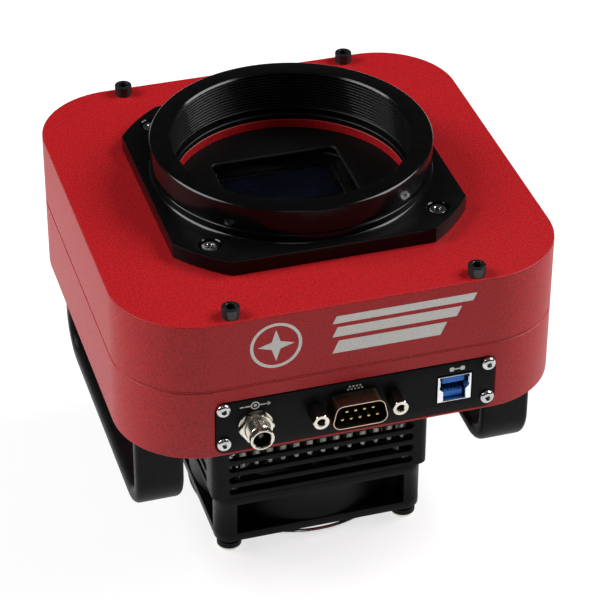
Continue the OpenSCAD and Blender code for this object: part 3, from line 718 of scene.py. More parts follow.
def thread_loops(z0, z1, minor, major, pitch, angles, steps=8):
    """Loops of an internal thread whose groove fades in and out at its ends, from top to bottom."""
    rows = int(round((z1 - z0) / pitch * steps))
    loops = []
    for k in range(rows + 1):
        z = z1 - (z1 - z0) * k / rows
        fade = min(1.0, (z1 - z) / (pitch * 0.7), (z - z0) / (pitch * 0.7))

        def radius(a, z=z, fade=fade):
            phase = (z / pitch - a / TAU) % 1.0
            groove = max(0.0, min(1.0, 1.35 - abs(phase - 0.5) * 3.4))
            return minor + (major - minor) * groove * fade
        loops.append(at_z(polar(radius, angles), z))
    return loops


def make_adapter():
    trim = acos(FLANGE_HALF / FLANGE_TRIM)
    angles = sorted(even_angles(288) + crossing_angles(trim))
    square = square_radius(FLANGE_HALF, 0.4)

    def flange_loop(z, inset=0.0):
        return at_z(polar(lambda a: min(square(a), FLANGE_TRIM) - inset, angles), z)

    edge, small, groove, relief = 0.35, 0.12, 0.6, 0.33
    low, high = BODY_TOP, FLANGE_TOP
    groove_low, groove_high = high + 2.9, high + 4.7
    sections = [flange_loop(low, 0.25), flange_loop(low + 0.25), flange_loop(high - edge),
                flange_loop(high - edge * 0.3, edge * 0.3), flange_loop(high, edge)]
    lip = 0.5
    sections += round_loops([
        (high, RING_R + 0.5), (high + small, RING_R + 0.42), (high + 0.5, RING_R),
        (groove_low - small, RING_R), (groove_low, RING_R - small), (groove_low + small, RING_R - groove),
        (groove_high - small, RING_R - groove), (groove_high, RING_R - small),
        (groove_high + small, RING_R), (RING_TOP - 0.5, RING_R), (RING_TOP - small, RING_R - 0.3),
        (RING_TOP, RING_R - 0.55), (RING_TOP, THREAD_MINOR + lip), (RING_TOP - lip, THREAD_MINOR)], angles)
    sections += thread_loops(low + 3.6, RING_TOP - lip - 0.05, THREAD_MINOR, THREAD_MAJOR,
                             THREAD_PITCH, angles)
    sections += round_loops([(low + 3.55, THREAD_MAJOR + relief), (low + 1.8, THREAD_MAJOR + relief),
                             (low + 1.75, BORE + 0.25), (low + 1.5, BORE), (low, BORE)], angles)
    adapter = solid("telescope_adapter", loft(sections, ring=True))
    counterbore = lathe([(3.3, -2.6), (3.3, -0.28), (3.62, 0.02), (3.62, 1)], 48)
    cuts = [moved(counterbore, x, y, high) for x, y in corners(ADAPTER_SCREW_AT, ADAPTER_SCREW_AT)]
    combine(adapter, merged(cuts), "DIFFERENCE")
    finish_piece(adapter, LOOKS["black_anodised"], node="telescope_adapter", sharp=28)

    def dull(p):
        r = hypot(p.x, p.y)
        in_bore = r < THREAD_MAJOR + 0.4 and p.z < RING_TOP - lip
        return in_bore or (r > RING_R + 0.4 and abs(p.z - high) < 0.01)
    return second_material(adapter, LOOKS["bore_black"], dull)


# ---------- sensor

def make_window_retainer():
    top, low = BODY_TOP - PLATE, BODY_TOP - PLATE - 1
    half, corner, edge = 41.3 / 2, 2, 0.4
    opening = square_radius(half, corner)
    wide = square_radius(half + edge, corner + edge)
    angles = sorted(even_angles(192) + crossing_angles(atan2(half - corner, half)))
    sections = [round_loop(low, 40, angles), round_loop(top, 40, angles),
                at_z(polar(wide, angles), top), at_z(polar(opening, angles), top - edge),
                at_z(polar(opening, angles), low)]
    return piece("window_retainer", [loft(sections, ring=True)], LOOKS["matte_black"],
                 node="window_retainer")


def make_sensor():
    step = box_mm("sensor_package")[0].z - BASE
    angles = even_angles(96)
    outer = square_radius(27, 0.6)
    inner = square_radius(20, 0.8)

    def outline(radius_at, z, squash=1.0, inset=0.0):
        return [((radius_at(a) - inset) * cos(a), (radius_at(a) - inset) * sin(a) * squash, z)
                for a in angles]
    wide = 50 / 54
    frame_part = loft([outline(outer, step, wide, 0.2), outline(outer, step + 0.2, wide),
                       outline(outer, step + 2.2, wide), outline(outer, step + 2.4, wide, 0.2),
                       outline(inner, step + 2.4), outline(inner, step + 1.2)])
    made("sensor_package", [frame_part])
    die_low, die_high = (corner.z - BASE for corner in box_mm("sensor_die"))
    half = box_mm("sensor_die")[1].x
    made("sensor_die", [block((-half, -half, die_low), (half, half, die_high), 0.08)])
    bond_wires = []
    for k in range(34):
        at = -16.5 + k
        for side in (-1, 1):
            path = [(side * (half - 0.6), at, die_high), (side * (half + 0.2), at, die_high + 0.35),
                    (side * (half + 0.9), at, die_low + 0.1)]
            bond_wires.append(sweep(path, circle(0.05, 6), (0, 1, 0)))
    piece("bond_wires", bond_wires, LOOKS["gold_contacts"])


# ---------- connector panel

def on_panel(part, x, z):
    """Stands a part on the panel's face, pointing outwards."""
    return facing_front(part, x, PANEL_FRONT, z)


def middle_of(node):
    low, high = box_mm(node)
    return (low.x + high.x) / 2, (low.z + high.z) / 2 - BASE


POWER_AT = middle_of("power_jack_body")
SERIAL_AT = middle_of("serial_shell")
USB_AT = middle_of("usb_shell")
JACK_HALF = 12.495
SERIAL_Z = 11.1
PIN_Z = 11.2
JACK_Z = middle_of("jackscrews")[1]
PANEL_SCREW_X = 41.84
PANEL_SCREW_Z = middle_of("panel_screws")[1]
PANEL_SCREW_DZ = 6.3


def arc(x, y, r, start, end, steps):
    return [(x + r * cos(start + (end - start) * k / steps),
             y + r * sin(start + (end - start) * k / steps)) for k in range(steps + 1)]


def d_outline(w, h, r, steps=8):
    """The D-shaped port's outline, with its long side at the bottom."""
    narrower = h * tan(radians(10)) / 2
    low_x, high_x = w / 2 - r, w / 2 - r - narrower
    y = h / 2 - r
    lean = atan2(narrower, 2 * y)
    quarter = pi / 2
    return (arc(low_x, -y, r, -quarter, lean, steps) + arc(high_x, y, r, lean, quarter, steps)
            + arc(-high_x, y, r, quarter, pi - lean, steps)
            + arc(-low_x, -y, r, pi - lean, 3 * quarter, steps))


def make_panel():
    middle = (PANEL_LOW + PANEL_HIGH) / 2
    width, height = 2 * PANEL_HALF, PANEL_HIGH - PANEL_LOW
    edge = 0.25
    plate = solid("connector_panel", facing_front(loft([
        at_z(rounded_rect(width, height, 3, 8), -PANEL_T),
        at_z(rounded_rect(width, height, 3, 8), -edge),
        at_z(rounded_rect(width - edge * 0.6, height - edge * 0.6, 3 - edge * 0.3, 8), -edge * 0.3),
        at_z(rounded_rect(width - 2 * edge, height - 2 * edge, 3 - edge, 8), 0)]),
        0, PANEL_FRONT, middle))
    depth = PANEL_T + 1
    holes = [on_panel(lathe([(4.1, -depth), (4.1, 1)], 40), *POWER_AT),
             on_panel(prism(d_outline(18.2, 9.4, 3), -depth, 1), SERIAL_AT[0], SERIAL_Z),
             on_panel(prism(rounded_rect(11.6, 10.4, 0.4), -depth, 1), *USB_AT)]
    holes += [on_panel(lathe([(1.6, -depth), (1.6, 1)], 24), SERIAL_AT[0] + s * JACK_HALF, JACK_Z)
              for s in (-1, 1)]
    combine(plate, merged(holes), "DIFFERENCE")
    return finish_piece(plate, LOOKS["panel_black"], node="connector_panel")


def make_panel_screws():
    screw = merged([button_head(2.3, 1.3, 1.5), shank(1.2, 6, 0.45)])
    parts = []
    for k, (x, dz) in enumerate(corners(PANEL_SCREW_X, PANEL_SCREW_DZ)):
        parts.append(on_panel(spun(screw, 0.5 * k), x, PANEL_SCREW_Z + dz))
    return made("panel_screws", parts)


def threaded_tube(r, bore, z0, z1, pitch, depth, run_out, n=72, steps=6):
    """A tube along Z with an external thread up to run_out below its bevelled mouth at z1."""
    loops = [at_z(circle(bore, n), z0), at_z(circle(r - depth, n), z0)]
    rows = int((z1 - run_out - z0) / pitch * steps)
    for k in range(rows + 1):
        z = z0 + 0.02 + (z1 - run_out - z0 - 0.02) * k / rows
        fade = min(1.0, (z1 - run_out - z) / pitch)

        def radius(a, z=z, fade=fade):
            phase = (z / pitch - a / TAU) % 1.0
            return r - depth * abs(2 * phase - 1) * fade
        loops.append(at_z(polar(radius, even_angles(n)), z))
    loops += [at_z(circle(r, n), z1 - 0.3), at_z(circle(r - 0.3, n), z1),
              at_z(circle(bore + 0.3, n), z1), at_z(circle(bore, n), z1 - 0.3)]
    return loft(loops, ring=True)


def make_power_jack():
    reach = 8.1
    tube = threaded_tube(3.7, 2.75, -8, reach, 0.75, 0.42, 1.7)
    collar = lathe([(2.75, -3.6), (5.4, -3.6), (5.4, -2.02), (2.75, -2.02)], 48, ring=True)
    made("power_jack_body", [on_panel(tube, *POWER_AT), on_panel(collar, *POWER_AT)])
    flats, height, hole = 9.6, 2.4, 3.75
    corner = flats / sqrt(3)
    angles = even_angles(72)
    chamfered = ((0.02, flats / 2 + 0.05), (0.25, corner - 0.1), (0.4, corner), (height - 0.45, corner),
                 (height - 0.3, corner - 0.1), (height, flats / 2 + 0.05))
    nut = loft([round_loop(0.02, hole, angles)]
               + [hex_loop(z, flats, limit, angles) for z, limit in chamfered]
               + [round_loop(height, hole + 0.35, angles), round_loop(height - 0.35, hole, angles)],
               ring=True)
    made("power_jack_nut", [on_panel(nut, *POWER_AT)], sharp=25)
    washer = lathe([(3.8, 0), (5.35, 0), (5.35, 0.3), (5.2, 0.42), (3.8, 0.42)], 48, ring=True)
    piece("power_jack_washer", [on_panel(washer, *POWER_AT)], LOOKS["nickel"])
    insulator = lathe([(1.05, -7.9), (2.72, -7.9), (2.72, -1.6), (2.5, -1.5), (1.35, -1.5), (1.05, -1.7)],
                      40, ring=True)
    made("power_jack_insulator", [on_panel(insulator, *POWER_AT)])
    pin = lathe([(1.02, -8), (1.05, -7.5), (1.05, 5.2), (0.95, 5.7), (0.7, 5.98), (0.35, 6.08)], 32)
    # The pin takes dark_nickel, a darkened nickel: painted shade inside the jack's barrel.
    piece("power_jack_pin", [on_panel(pin, *POWER_AT)], LOOKS["dark_nickel"], node="power_jack_pin")


def make_serial_port():
    x = SERIAL_AT[0]

    shell = loft([at_z(d_outline(w, h, r), z) for z, w, h, r in (
        (-2.4, 17.4, 8.8, 2.7), (-0.3, 18.0, 9.3, 2.95), (0.25, 17.7, 9.05, 2.85), (0.7, 17.4, 8.8, 2.7),
        (5.75, 17.4, 8.8, 2.7), (6.0, 17.2, 8.6, 2.6), (6.0, 16.7, 8.1, 2.35), (5.75, 16.5, 7.9, 2.25),
        (-2.4, 16.5, 7.9, 2.25))], ring=True)
    plate = solid("serial_shell", on_panel(slab(30.8, 12.4, 1.5, -2.8, -2.02, 0.1), x, SERIAL_Z))
    holes = [on_panel(lathe([(1.6, -4), (1.6, 1)], 24), x + s * JACK_HALF, JACK_Z) for s in (-1, 1)]
    holes.append(on_panel(prism(d_outline(16.9, 8.3, 2.45), -4, 1), x, SERIAL_Z))
    combine(plate, merged(holes), "DIFFERENCE")
    join_into(plate, solid("tube", on_panel(shell, x, SERIAL_Z)))
    finish_piece(plate, LOOKS["bronze_shell"], node="serial_shell")
    colour_ends(plate, LOOKS["bronze_rim"], (0, -1, 0))
    face = prism(d_outline(16.3, 7.7, 2.15), -2.9, -0.3, 0.15,
                 lambda m: d_outline(16.3 - 2 * m, 7.7 - 2 * m, 2.15 - m))
    back = prism(rounded_rect(19, 10, 1), -10.6, -2.85)
    made("serial_insulator", [on_panel(face, x, SERIAL_Z), on_panel(back, x, SERIAL_Z)])
    pin = lathe([(0.5, -15), (0.5, 4.9), (0.42, 5.2), (0.22, 5.36), (0.08, 5.4)], 20)
    pins = [on_panel(pin, x + (i - (2 if row < 0 else 1.5)) * 2.77, PIN_Z + row * 1.42)
            for row in (-1, 1) for i in range(5 if row < 0 else 4)]
    made("serial_pins", pins)


def join_into(obj, other):
    """Adds another object's mesh to obj's."""
    made_mesh = bmesh.new()
    made_mesh.from_mesh(obj.data)
    made_mesh.from_mesh(other.data)
    made_mesh.to_mesh(obj.data)
    made_mesh.free()
    mesh = other.data
    bpy.data.objects.remove(other)
    bpy.data.meshes.remove(mesh)


def make_jackscrews():
    flats, height = 4.75, 6.6
    corner = flats / sqrt(3)
    outside = ((0.02, corner - 0.15), (0.2, corner), (height - 0.45, corner),
               (height - 0.32, corner - 0.1), (height, flats / 2 + 0.02))
    socket = ((1.45, height), (1.15, height - 0.3), (1.15, height - 1.2), (1.1, height - 1.3),
              (1.1, 1.7), (0.4, 1.3))
    post = loft([hex_loop(z, flats, limit) for z, limit in outside]
                + [at_z(circle(r, 48), z) for r, z in socket])
    nut = loft([hex_loop(z, flats, corner - cut)
                for z, cut in ((-5.1, 0.2), (-4.9, 0), (-3.2, 0), (-3, 0.2))])
    parts = []
    for s in (-1, 1):
        x = SERIAL_AT[0] + s * JACK_HALF
        parts += [on_panel(part, x, JACK_Z) for part in (post, shank(1.4, 8, 0.6), nut)]
    # The posts, shanks and nuts take dark_nickel, a darkened nickel, and only the faces turned outwards
    # keep bright nickel: painted shade on the sides in place of their dark reflections.
    posts = piece("jackscrews", parts, LOOKS["dark_nickel"], node="jackscrews", sharp=25)
    return colour_ends(posts, LOOKS["nickel"], (0, -1, 0), 0.4)


def usb_cavity(inset=0.0):
    """The port's opening: a wide upper part that steps in to a narrow lower one."""
    wide, narrow, high, low = 4.75 - inset, 3.55 - inset, 4.4 - inset, inset - 4.35
    step_top, step_bottom = 0.3, -0.9
    right = [(narrow, low), (narrow, step_bottom), (wide, step_top), (wide, high)]
    return right + [(-x, y) for x, y in reversed(right)]


def make_usb_port():
    w, h = 10.8, 9.6
    half_w, half_h = w / 2, h / 2

    def shell_loop(z, inset=0.0):
        x, top, bottom = half_w - inset, half_h - inset, inset - half_h
        right = [(x, bottom), (x, -0.9), (x, 0.3), (x, top)]
        return at_z(right + [(-px, py) for px, py in reversed(right)], z)
    shell = loft([shell_loop(-13), shell_loop(0.25), shell_loop(0.4, 0.15), at_z(usb_cavity(-0.15), 0.4),
                  at_z(usb_cavity(), 0.2), at_z(usb_cavity(), -13)], ring=True)
    springs = []
    for s in (-1, 1):
        leaf = [(s * 4.7, 0.9, 0.0), (s * 4.7, 3.2, 0.0), (s * 4.2, 3.2, -4.2), (s * 4.2, 0.9, -4.2)]
        back = [(px - s * 0.18, py, pz) for px, py, pz in leaf]
        springs.append(loft([leaf, back]))
    made("usb_shell", [on_panel(part, *USB_AT) for part in [shell] + springs])
    blocks = [block((-3.6, 0.9, -12), (3.6, 4.0, -1.1), 0.35),
              block((-3.2, -4.2, -12), (3.2, -1.7, -1.1), 0.3)]
    made("usb_tongues", [on_panel(part, *USB_AT) for part in blocks])
    # A black plug fills the back of the port's cavity: painted shade deep inside the port.
    back = loft([at_z(usb_cavity(0.1), -13), at_z(usb_cavity(0.1), -9)])
    piece("usb_painted_shade_plug", [on_panel(back, *USB_AT)], LOOKS["black_plastic"])
    contacts = []
    for row, count, start in ((-1.66, 5, -1.6), (0.68, 4, -3.0)):
        for i in range(count):
            x = (i - (count - 1) / 2) * 1.2
            bar_shape = block((x - 0.25, row, -9), (x + 0.25, row + 0.2, start), 0.06)
            contacts.append(on_panel(bar_shape, *USB_AT))
    made("usb_contacts", contacts)


# ---------- printed marks

PRINT_T = 0.03


def mark(outline, x, z, front):
    return facing_front(prism(outline, 0, PRINT_T), x, front, z)


def ring_mark(inner, outer, n, x, z, front):
    profile = [(inner, 0), (outer, 0), (outer, PRINT_T), (inner, PRINT_T)]
    return facing_front(lathe(profile, n, ring=True), x, front, z)


def bar(w, h):
    return rounded_rect(w, h, min(w, h) * 0.3, 3)


def star(outer, inner, points=4):
    tips = []
    for k in range(points * 2):
        a = pi / 2 + pi * k / points
        r = inner if k % 2 else outer
        tips.append((r * cos(a), r * sin(a)))
    return tips


def make_marks():
    """Plain decoration: a star in a ring and speed stripes on the front, port symbols on the panel."""
    front = -BODY_HALF
    badge_x, badge_z = -25.4, 37.6
    parts = [ring_mark(7.0, 8.0, 64, badge_x, badge_z, front),
             mark(star(5.6, 1.9), badge_x, badge_z, front)]
    start, length, step = -8.0, 44.0, 5.0
    for k, (z, height) in enumerate(((43.0, 2.6), (38.6, 3.4), (33.2, 4.4))):
        lean = height * 0.45
        end = start + length - k * step
        outline = [(start, -height / 2), (end, -height / 2), (end + lean, height / 2),
                   (start + lean, height / 2)]
        parts.append(mark(outline, 0, z, front))
    piece("front_marks", parts, LOOKS["white_print"])
    panel = PANEL_FRONT
    x, z = POWER_AT[0], 17.1
    symbols = [ring_mark(1.0, 1.4, 32, x, z, panel), mark(circle(0.5, 20), x, z, panel)]
    for s in (-1, 1):
        symbols.append(mark(bar(2.0, 0.4), x + s * 2.2, z, panel))
        symbols.append(mark(bar(1.3, 0.4), x + s * 4.1, z, panel))
    symbols.append(mark(bar(0.4, 1.3), x + 4.1, z, panel))
    for count, z in ((5, 16.75), (4, 17.75)):
        for k in range(count):
            x = SERIAL_AT[0] + (k - (count - 1) / 2) * 1.1
            symbols.append(mark(circle(0.34, 16), x, z, panel))
    ux = USB_AT[0] + 0.7
    for s in (-1, 1):
        symbols.append(mark(bar(1.5, 1.5), ux + s * 1.7, 17.3, panel))
    symbols.append(mark(bar(2.2, 0.4), ux, 17.3, panel))
    piece("panel_marks", symbols, LOOKS["white_print"])


# ---------- cooling shroud and fan

def make_shroud():
    """The pressed box round the heat sink, with a flange above and nine slots in each wall."""
    wall, bottom, corner = 1.6, 1.3, 3.0
    width, depth = 2 * SHROUD_X, 2 * SHROUD_Y
    box = solid("shroud", slab(width, depth, corner, SHROUD_LOW, -0.02, 0.15, 8))
    combine(box, prism(rounded_rect(*SHROUD_FLANGE, 3), -SHROUD_FLANGE_T, -0.02), "UNION")
    combine(box, prism(rounded_rect(width - 2 * wall, depth - 2 * wall, corner - wall, 8),
                       SHROUD_LOW + bottom, 1), "DIFFERENCE")
    combine(box, lathe([(FAN_BORE, SHROUD_LOW - 1), (FAN_BORE, SHROUD_LOW + 3)], 96), "DIFFERENCE")
    slot_height, pitch, count, first = 2.8, 4.56, 9, -43.6
    for half, turn in ((31.2, 0), (27.2, pi / 2)):
        cuts = []
        for k in range(count):
            slot = prism(rounded_rect(2 * half, slot_height, slot_height / 2 - 0.01, 8), -60, 60)
            cuts.append(spun(facing_front(slot, 0, 0, first + k * pitch), turn))
        combine(box, merged(cuts), "DIFFERENCE")
    bevelled(box, 0.3)
    finish_piece(box, LOOKS["black_paint"], node="shroud_walls")
    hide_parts("shroud_floor")


def make_shroud_screws():
    screw = merged([button_head(2.5, 1.7, 2.0), shank(1.45, 5.6)])
    over = Matrix.Rotation(pi, 4, "X")
    parts = [moved(turned(screw, over), x, y, -SHROUD_FLANGE_T) for x, y in corners(*SHROUD_SCREW_AT)]
    return made("shroud_screws", parts)


def make_heat_sink():
    low, high = box_mm("heat_sink")
    half = high.x
    reach, pitch = 6.5, 4.5
    tip = low.z - BASE
    parts = [block((-half, -half, 0), (half, half, 6), 0.3)]
    pin = lathe([(0.6, tip), (0.74, tip + 0.15), (1.05, tip + 2.6), (1.05, 0.3)], 14)
    for i in range(14):
        for j in range(14):
            parts.append(moved(pin, (i - reach) * pitch, (j - reach) * pitch, 0))
    sink = made("heat_sink", parts)
    # Every pin inside the outermost ring gets shaded_aluminium, a near-black copy of the aluminium: painted
    # shade deep in the pin grid.
    return second_material(sink, LOOKS["shaded_aluminium"],
                           lambda p: max(abs(p.x), abs(p.y)) < (reach - 0.4) * pitch and p.z < -0.2)


def make_fan_frame():
    """A square axial fan's housing: two flanges joined by a barrel and corner posts."""
    flange, post, corner = 2.9, 6.5, 5.0
    size = 2 * FAN_HALF

    def plate(z0, z1):
        return prism(rounded_rect(size, size, corner, 8), z0, z1)
    body = solid("fan_frame", plate(FAN_TOP - flange, FAN_TOP))
    combine(body, plate(FAN_BOTTOM, FAN_BOTTOM + flange), "UNION")
    combine(body, lathe([(FAN_BORE + 1.6, FAN_BOTTOM + 1), (FAN_BORE + 1.6, FAN_TOP - 1)], 120), "UNION")
    inner = FAN_HALF - post
    outline = arc(FAN_HALF - corner, FAN_HALF - corner, corner - 0.03, 0, pi / 2, 8)
    outline += [(inner, FAN_HALF - 0.03), (inner, inner + 1), (inner + 1, inner), (FAN_HALF - 0.03, inner)]
    posts = [spun(prism(outline, FAN_BOTTOM + 1, FAN_TOP - 1), pi / 2 * k) for k in range(4)]
    combine(body, merged(posts), "UNION")
    mouth = 1.2
    bore = lathe([(FAN_BORE + mouth, FAN_BOTTOM - 1), (FAN_BORE + mouth, FAN_BOTTOM),
                  (FAN_BORE + mouth * 0.35, FAN_BOTTOM + mouth * 0.4), (FAN_BORE, FAN_BOTTOM + mouth * 1.3),
                  (FAN_BORE, FAN_TOP + 1)], 120)
    combine(body, bore, "DIFFERENCE")
    holes = [moved(lathe([(2.15, FAN_BOTTOM - 1), (2.15, FAN_TOP + 1)], 24), x, y)
             for x, y in corners(FAN_SCREW, FAN_SCREW)]
    combine(body, merged(holes), "DIFFERENCE")
    bevelled(body, 0.35)
    plate_r = 16.5
    struts = [lathe([(plate_r - 0.3, FAN_TOP - 1.6), (plate_r, FAN_TOP - 1.3), (plate_r, FAN_TOP - 0.2),
                     (plate_r - 0.2, FAN_TOP)], 64)]
    for k in range(4):
        strut = block((14, -1.6, FAN_TOP - 2.4), (FAN_BORE + 0.6, 1.6, FAN_TOP - 0.02), 0.4)
        struts.append(spun(strut, pi / 2 * k + radians(32)))
    low, high = FAN_BOTTOM + 3.5, FAN_TOP - 1.5
    struts.append(lathe([(4, low), (5, low), (5, high), (4, high)], 40, ring=True))
    join_into(body, solid("struts", merged(struts)))
    return finish_piece(body, LOOKS["black_plastic"], node="fan_frame", sharp=38)


def fan_blade(root, tip):
    """A cambered blade, lofted outwards from the hub with less twist towards its tip."""
    sections = []
    steps = 9
    for k in range(steps + 1):
        t = k / steps
        r = root + (tip - root) * t
        chord = 13.5 + 5.0 * t
        pitch = radians(49 - 14 * t)
        thick = 1.5 - 0.6 * t
        camber = 1.6 - 0.4 * t
        swept = 0.10 * sin(t * pi / 2)
        outline = []
        count = 10
        for side in (1, -1):
            for i in range(count + 1):
                s = i / count if side > 0 else 1 - i / count
                if side < 0 and i in (0, count):
                    continue
                bulge = sqrt(max(s, 0)) * (1 - s) * 2.2 * thick / 2 + 0.18 * (1 - abs(2 * s - 1))
                along = (s - 0.5) * chord
                off = camber * 4 * s * (1 - s) - camber * 0.5 + side * (bulge + 0.12)
                y = along * cos(pitch) - off * sin(pitch)
                z = along * sin(pitch) + off * cos(pitch)
                angle = y / r + swept
                outline.append((r * cos(angle), r * sin(angle), z))
        sections.append(outline)
    return loft(sections)


def make_fan_rotor():
    hub, low, high = 15.0, FAN_BOTTOM + 1.2, FAN_BOTTOM + 14
    cup = [(hub - 1.2, high), (hub, high), (hub, low + 1.6)]
    for k in range(5):
        a = pi / 2 * k / 4
        cup.append((hub - 1.5 + 1.5 * cos(a), low + 1.5 - 1.5 * sin(a)))
    cup += [(10.6, low), (10.4, low + 0.25), (9.6, low + 0.25), (9.4, low), (1.5, low), (1.5, low + 1.4),
            (hub - 1.2, low + 1.4)]
    parts = [lathe(cup, 96, ring=True)]
    middle = FAN_BOTTOM + 7.5
    for k in range(7):
        parts.append(spun(moved(fan_blade(hub - 0.5, FAN_BORE - 0.8), 0, 0, middle), TAU * k / 7))
    return made("fan_rotor", parts, FAN_BODY, sharp=40)


def arc_points(centre, radius, start, end, steps, plane):
    """Points of an arc in a plane given by two unit vectors."""
    u, v = plane
    return [centre + u * (radius * cos(start + (end - start) * k / steps))
            + v * (radius * sin(start + (end - start) * k / steps)) for k in range(steps + 1)]


def bent_path(points, radius, steps=6):
    """A path of straight runs with rounded bends."""
    path = [Vector(points[0])]
    for before, here, after in zip(points, points[1:], points[2:]):
        here = Vector(here)
        back = (Vector(before) - here).normalized()
        ahead = (Vector(after) - here).normalized()
        start, end = here + back * radius, here + ahead * radius
        for k in range(steps + 1):
            t = k / steps
            path.append(start * (1 - t) ** 2 + here * 2 * t * (1 - t) + end * t ** 2)
    path.append(Vector(points[-1]))
    return path


def make_fan_guard():
    """Four welded rings on bent diagonal arms that end in loops under the screws."""
    wire = circle(GUARD_WIRE, 12)
    ring_z = FAN_BOTTOM - 2.2
    foot_z = FAN_BOTTOM - GUARD_WIRE - 0.02
    rings = (9, 17.5, 26, 34.4)
    parts = [lathe([(r + u, ring_z + v) for u, v in wire], 96, ring=True) for r in rings]
    corner = FAN_SCREW * sqrt(2)
    loop_r = 3.3
    for k in range(4):
        arm = bent_path([(7.6, 0, ring_z + 1.15), (35.2, 0, ring_z + 1.15), (36.9, 0, foot_z),
                         (corner - loop_r, 0, foot_z)], 0.8)
        thin = circle(GUARD_WIRE - 0.1, 12)
        angle = pi / 2 * k + pi / 4
        parts.append(spun(sweep(arm, thin, (0, 1, 0)), angle))
        loop = lathe([(loop_r + u, foot_z + v) for u, v in circle(GUARD_WIRE - 0.02, 12)], 40, ring=True)
        parts.append(spun(moved(loop, corner, 0, 0), angle))
    guard = made("fan_guard", parts, sharp=60)
    # The loops under the screw heads get matte black: painted shade on the chrome wire where it lies under
    # the fan.
    return second_material(guard, LOOKS["matte_black"],
                           lambda p: hypot(abs(p.x) - FAN_SCREW, abs(p.y) - FAN_SCREW) < loop_r + 1)


def make_fan_screws():
    """Pan heads with a cross recess, under the guard's loops."""
    head_low = box_mm("fan_screws")[0].z - BASE
    height = 3.8
    top = head_low + height
    rim, rounding = 4.1, 1.7
    profile = [(rim - 0.15, top), (rim, top - 0.15)]
    profile += [(r, z) for r, z in arc(rim - rounding, head_low + rounding, rounding, 0, -pi / 2, 6)]
    profile.append((0.5, head_low))
    heads = solid("fan_screws", merged([moved(lathe(profile, 40), x, y)
                                        for x, y in corners(FAN_SCREW, FAN_SCREW)]))
    across = block((-2.0, -0.42, head_low - 1), (2.0, 0.42, head_low + 1.1), 0.1)
    down = spun(across, pi / 2)
    for k, (x, y) in enumerate(corners(FAN_SCREW, FAN_SCREW)):
        for cutter in (across, down):
            combine(heads, moved(spun(cutter, 0.4 + 0.5 * k), x, y), "DIFFERENCE")
    over = Matrix.Rotation(pi, 4, "X")
    shanks = [moved(turned(shank(1.95, 27.2, 0.7), over), x, y, top)
              for x, y in corners(FAN_SCREW, FAN_SCREW)]
    join_into(heads, solid("shanks", merged(shanks)))
    finish_piece(heads, LOOKS["zinc_screws"], node="fan_screws")
    # Everything above the heads' rounded lower edge gets matte black: painted shade on the zinc under the
    # fan; the rounded edge and the flat face below keep the zinc colour.
    return second_material(heads, LOOKS["matte_black"], lambda p: p.z > head_low + rounding - 0.1)


def make_fan_nuts():
    flats, height, hole, chamfer_r = 7, 3.2, 2.05, 3.6
    corner = flats / sqrt(3)
    seat = SHROUD_LOW + 1.3
    outside = ((0.02, chamfer_r), (0.3, corner), (height - 0.3, corner), (height, chamfer_r))
    nut = loft([round_loop(seat + 0.02, hole, SCREW_ANGLES)]
               + [hex_loop(seat + z, flats, limit) for z, limit in outside]
               + [round_loop(seat + height, hole, SCREW_ANGLES)], ring=True)
    return made("fan_nuts", [moved(nut, x, y) for x, y in corners(FAN_SCREW, FAN_SCREW)], sharp=25)


# ---------- handles and plug

def make_handle(name):
    """A bent flat bar with rounded edges, standing on the housing's rear face."""
    low, high = box_mm(name)
    x = (low.x + high.x) / 2
    width = high.x - low.x
    thick, bend = 5.5, 14.0
    half = high.y - thick / 2
    depth = BASE - low.z - thick / 2
    r = bend - thick / 2
    across, down, back = Vector((1, 0, 0)), Vector((0, 0, -1)), Vector((0, 1, 0))
    path = [Vector((x, half, -0.02)), Vector((x, half, -depth * 0.3))]
    path += arc_points(Vector((x, half - r, -depth + r)), r, 0, pi / 2, 14, (back, down))
    path += [Vector((x, -p.y, p.z)) for p in reversed(path)]
    outline = rounded_rect(width, thick, 1.9, 6)
    return made(name, [sweep(path, outline, across)], sharp=40)


def make_desiccant_plug():
    box_low, box_high = box_mm("desiccant_plug")
    low, high = box_low.z - BASE, box_high.z - BASE
    at = (box_low.y + box_high.y) / 2
    r, stem = 8.6, 6.5
    teeth = 60

    def grip(z, rr, cut):
        return [((rr - cut * (i % 2)) * cos(TAU * i / (2 * teeth)),
                 (rr - cut * (i % 2)) * sin(TAU * i / (2 * teeth)), z) for i in range(2 * teeth)]
    head = loft([grip(low, r - 0.4, 0), grip(low + 0.35, r, 0), grip(low + 0.6, r, 0.18),
                 grip(-0.6, r, 0.18), grip(-0.35, r, 0), grip(-0.02, r - 0.3, 0)])
    plug = solid("desiccant_plug", merged([moved(head, 0, at)]))
    combine(plug, moved(block((-6, -0.8, low - 1), (6, 0.8, low + 1.2), 0.1), 0, at), "DIFFERENCE")
    tube = lathe([(stem, -0.5), (stem, high), (stem - 1.2, high), (stem - 1.2, 4), (0.5, 4), (0.5, -0.5)],
                 48, ring=True)
    join_into(plug, solid("stem", moved(tube, 0, at)))
    return finish_piece(plug, LOOKS["bare_aluminium"], node="desiccant_plug")


# ---------- light and floor

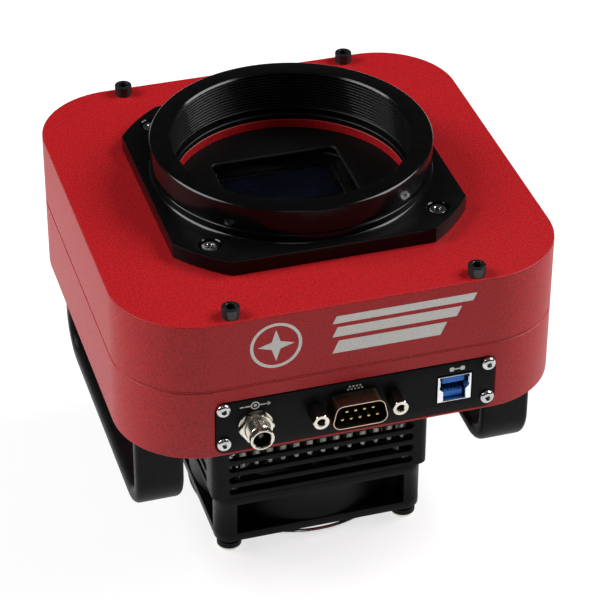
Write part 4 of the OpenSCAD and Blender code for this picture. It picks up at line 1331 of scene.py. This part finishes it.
def softbox(name, place, size, power):
    """A rectangular lamp that points at the camera's housing."""
    data = bpy.data.lights.new(name, "AREA")
    data.shape = "RECTANGLE"
    data.size, data.size_y = size
    data.energy = power
    light = bpy.data.objects.new(name, data)
    bpy.context.scene.collection.objects.link(light)
    light.location = place
    light.rotation_euler = (Vector((0, 0, -0.05)) - light.location).to_track_quat("-Z", "Y").to_euler()


def make_studio():
    floor_z = cad_bounds[0][2]
    size = 6.0
    mesh = bpy.data.meshes.new("floor")
    mesh.from_pydata([(-size, -size, floor_z), (size, -size, floor_z), (size, size, floor_z),
                      (-size, size, floor_z)], [], [(0, 1, 2, 3)])
    floor = bpy.data.objects.new("floor", mesh)
    bpy.context.scene.collection.objects.link(floor)
    paper = Look("white_paper", (0.35, 0.35, 0.35), 0.9, Emission_Color=(1, 1, 1, 1))
    paper.vary_color(paper.noise(40, 2), 0.99, 1.01)
    # The floor's glow fades from full at 27 mm to nothing at 16 mm from the vertical axis: a painted shadow
    # under the fan. Elsewhere the floor glows evenly.
    distance = paper.nodes.new("ShaderNodeVectorMath")
    distance.operation = "LENGTH"
    paper.links.new(paper.place((1, 1, 0)), distance.inputs[0])
    glow_with_painted_shadow = paper.ramp(distance.outputs["Value"], 0.0, 0.70, 0.016, 0.027)
    paper.links.new(glow_with_painted_shadow, paper.shader.inputs["Emission Strength"])
    floor.data.materials.append(paper.material)
    world = bpy.data.worlds.new("studio")
    world.use_nodes = True
    world.node_tree.nodes["Background"].inputs["Color"].default_value = (1, 1, 1, 1)
    world.node_tree.nodes["Background"].inputs["Strength"].default_value = 0.03
    bpy.context.scene.world = world
    softbox("left_key", (-1.2, 0.3, 1.0), (1.0, 0.8), 29)
    softbox("right_key", (1.15, -0.15, 1.05), (1.0, 0.8), 33)
    softbox("edge_strip", (-0.25, -1.0, 1.25), (0.5, 0.12), 0.6)
    bpy.context.scene.view_settings.view_transform = "Standard"


# ---------- everything

make_camera()
make_front_shell()
make_rear_shell()
make_cover_screws()
make_adapter()
make_adapter_screws()
make_window_retainer()
make_sensor()
make_panel()
make_panel_screws()
make_power_jack()
make_serial_port()
make_jackscrews()
make_usb_port()
make_marks()
make_shroud()
make_shroud_screws()
make_heat_sink()
make_fan_frame()
make_fan_rotor()
make_fan_guard()
make_fan_screws()
make_fan_nuts()
make_handle("handle_left")
make_handle("handle_right")
make_desiccant_plug()
make_studio()
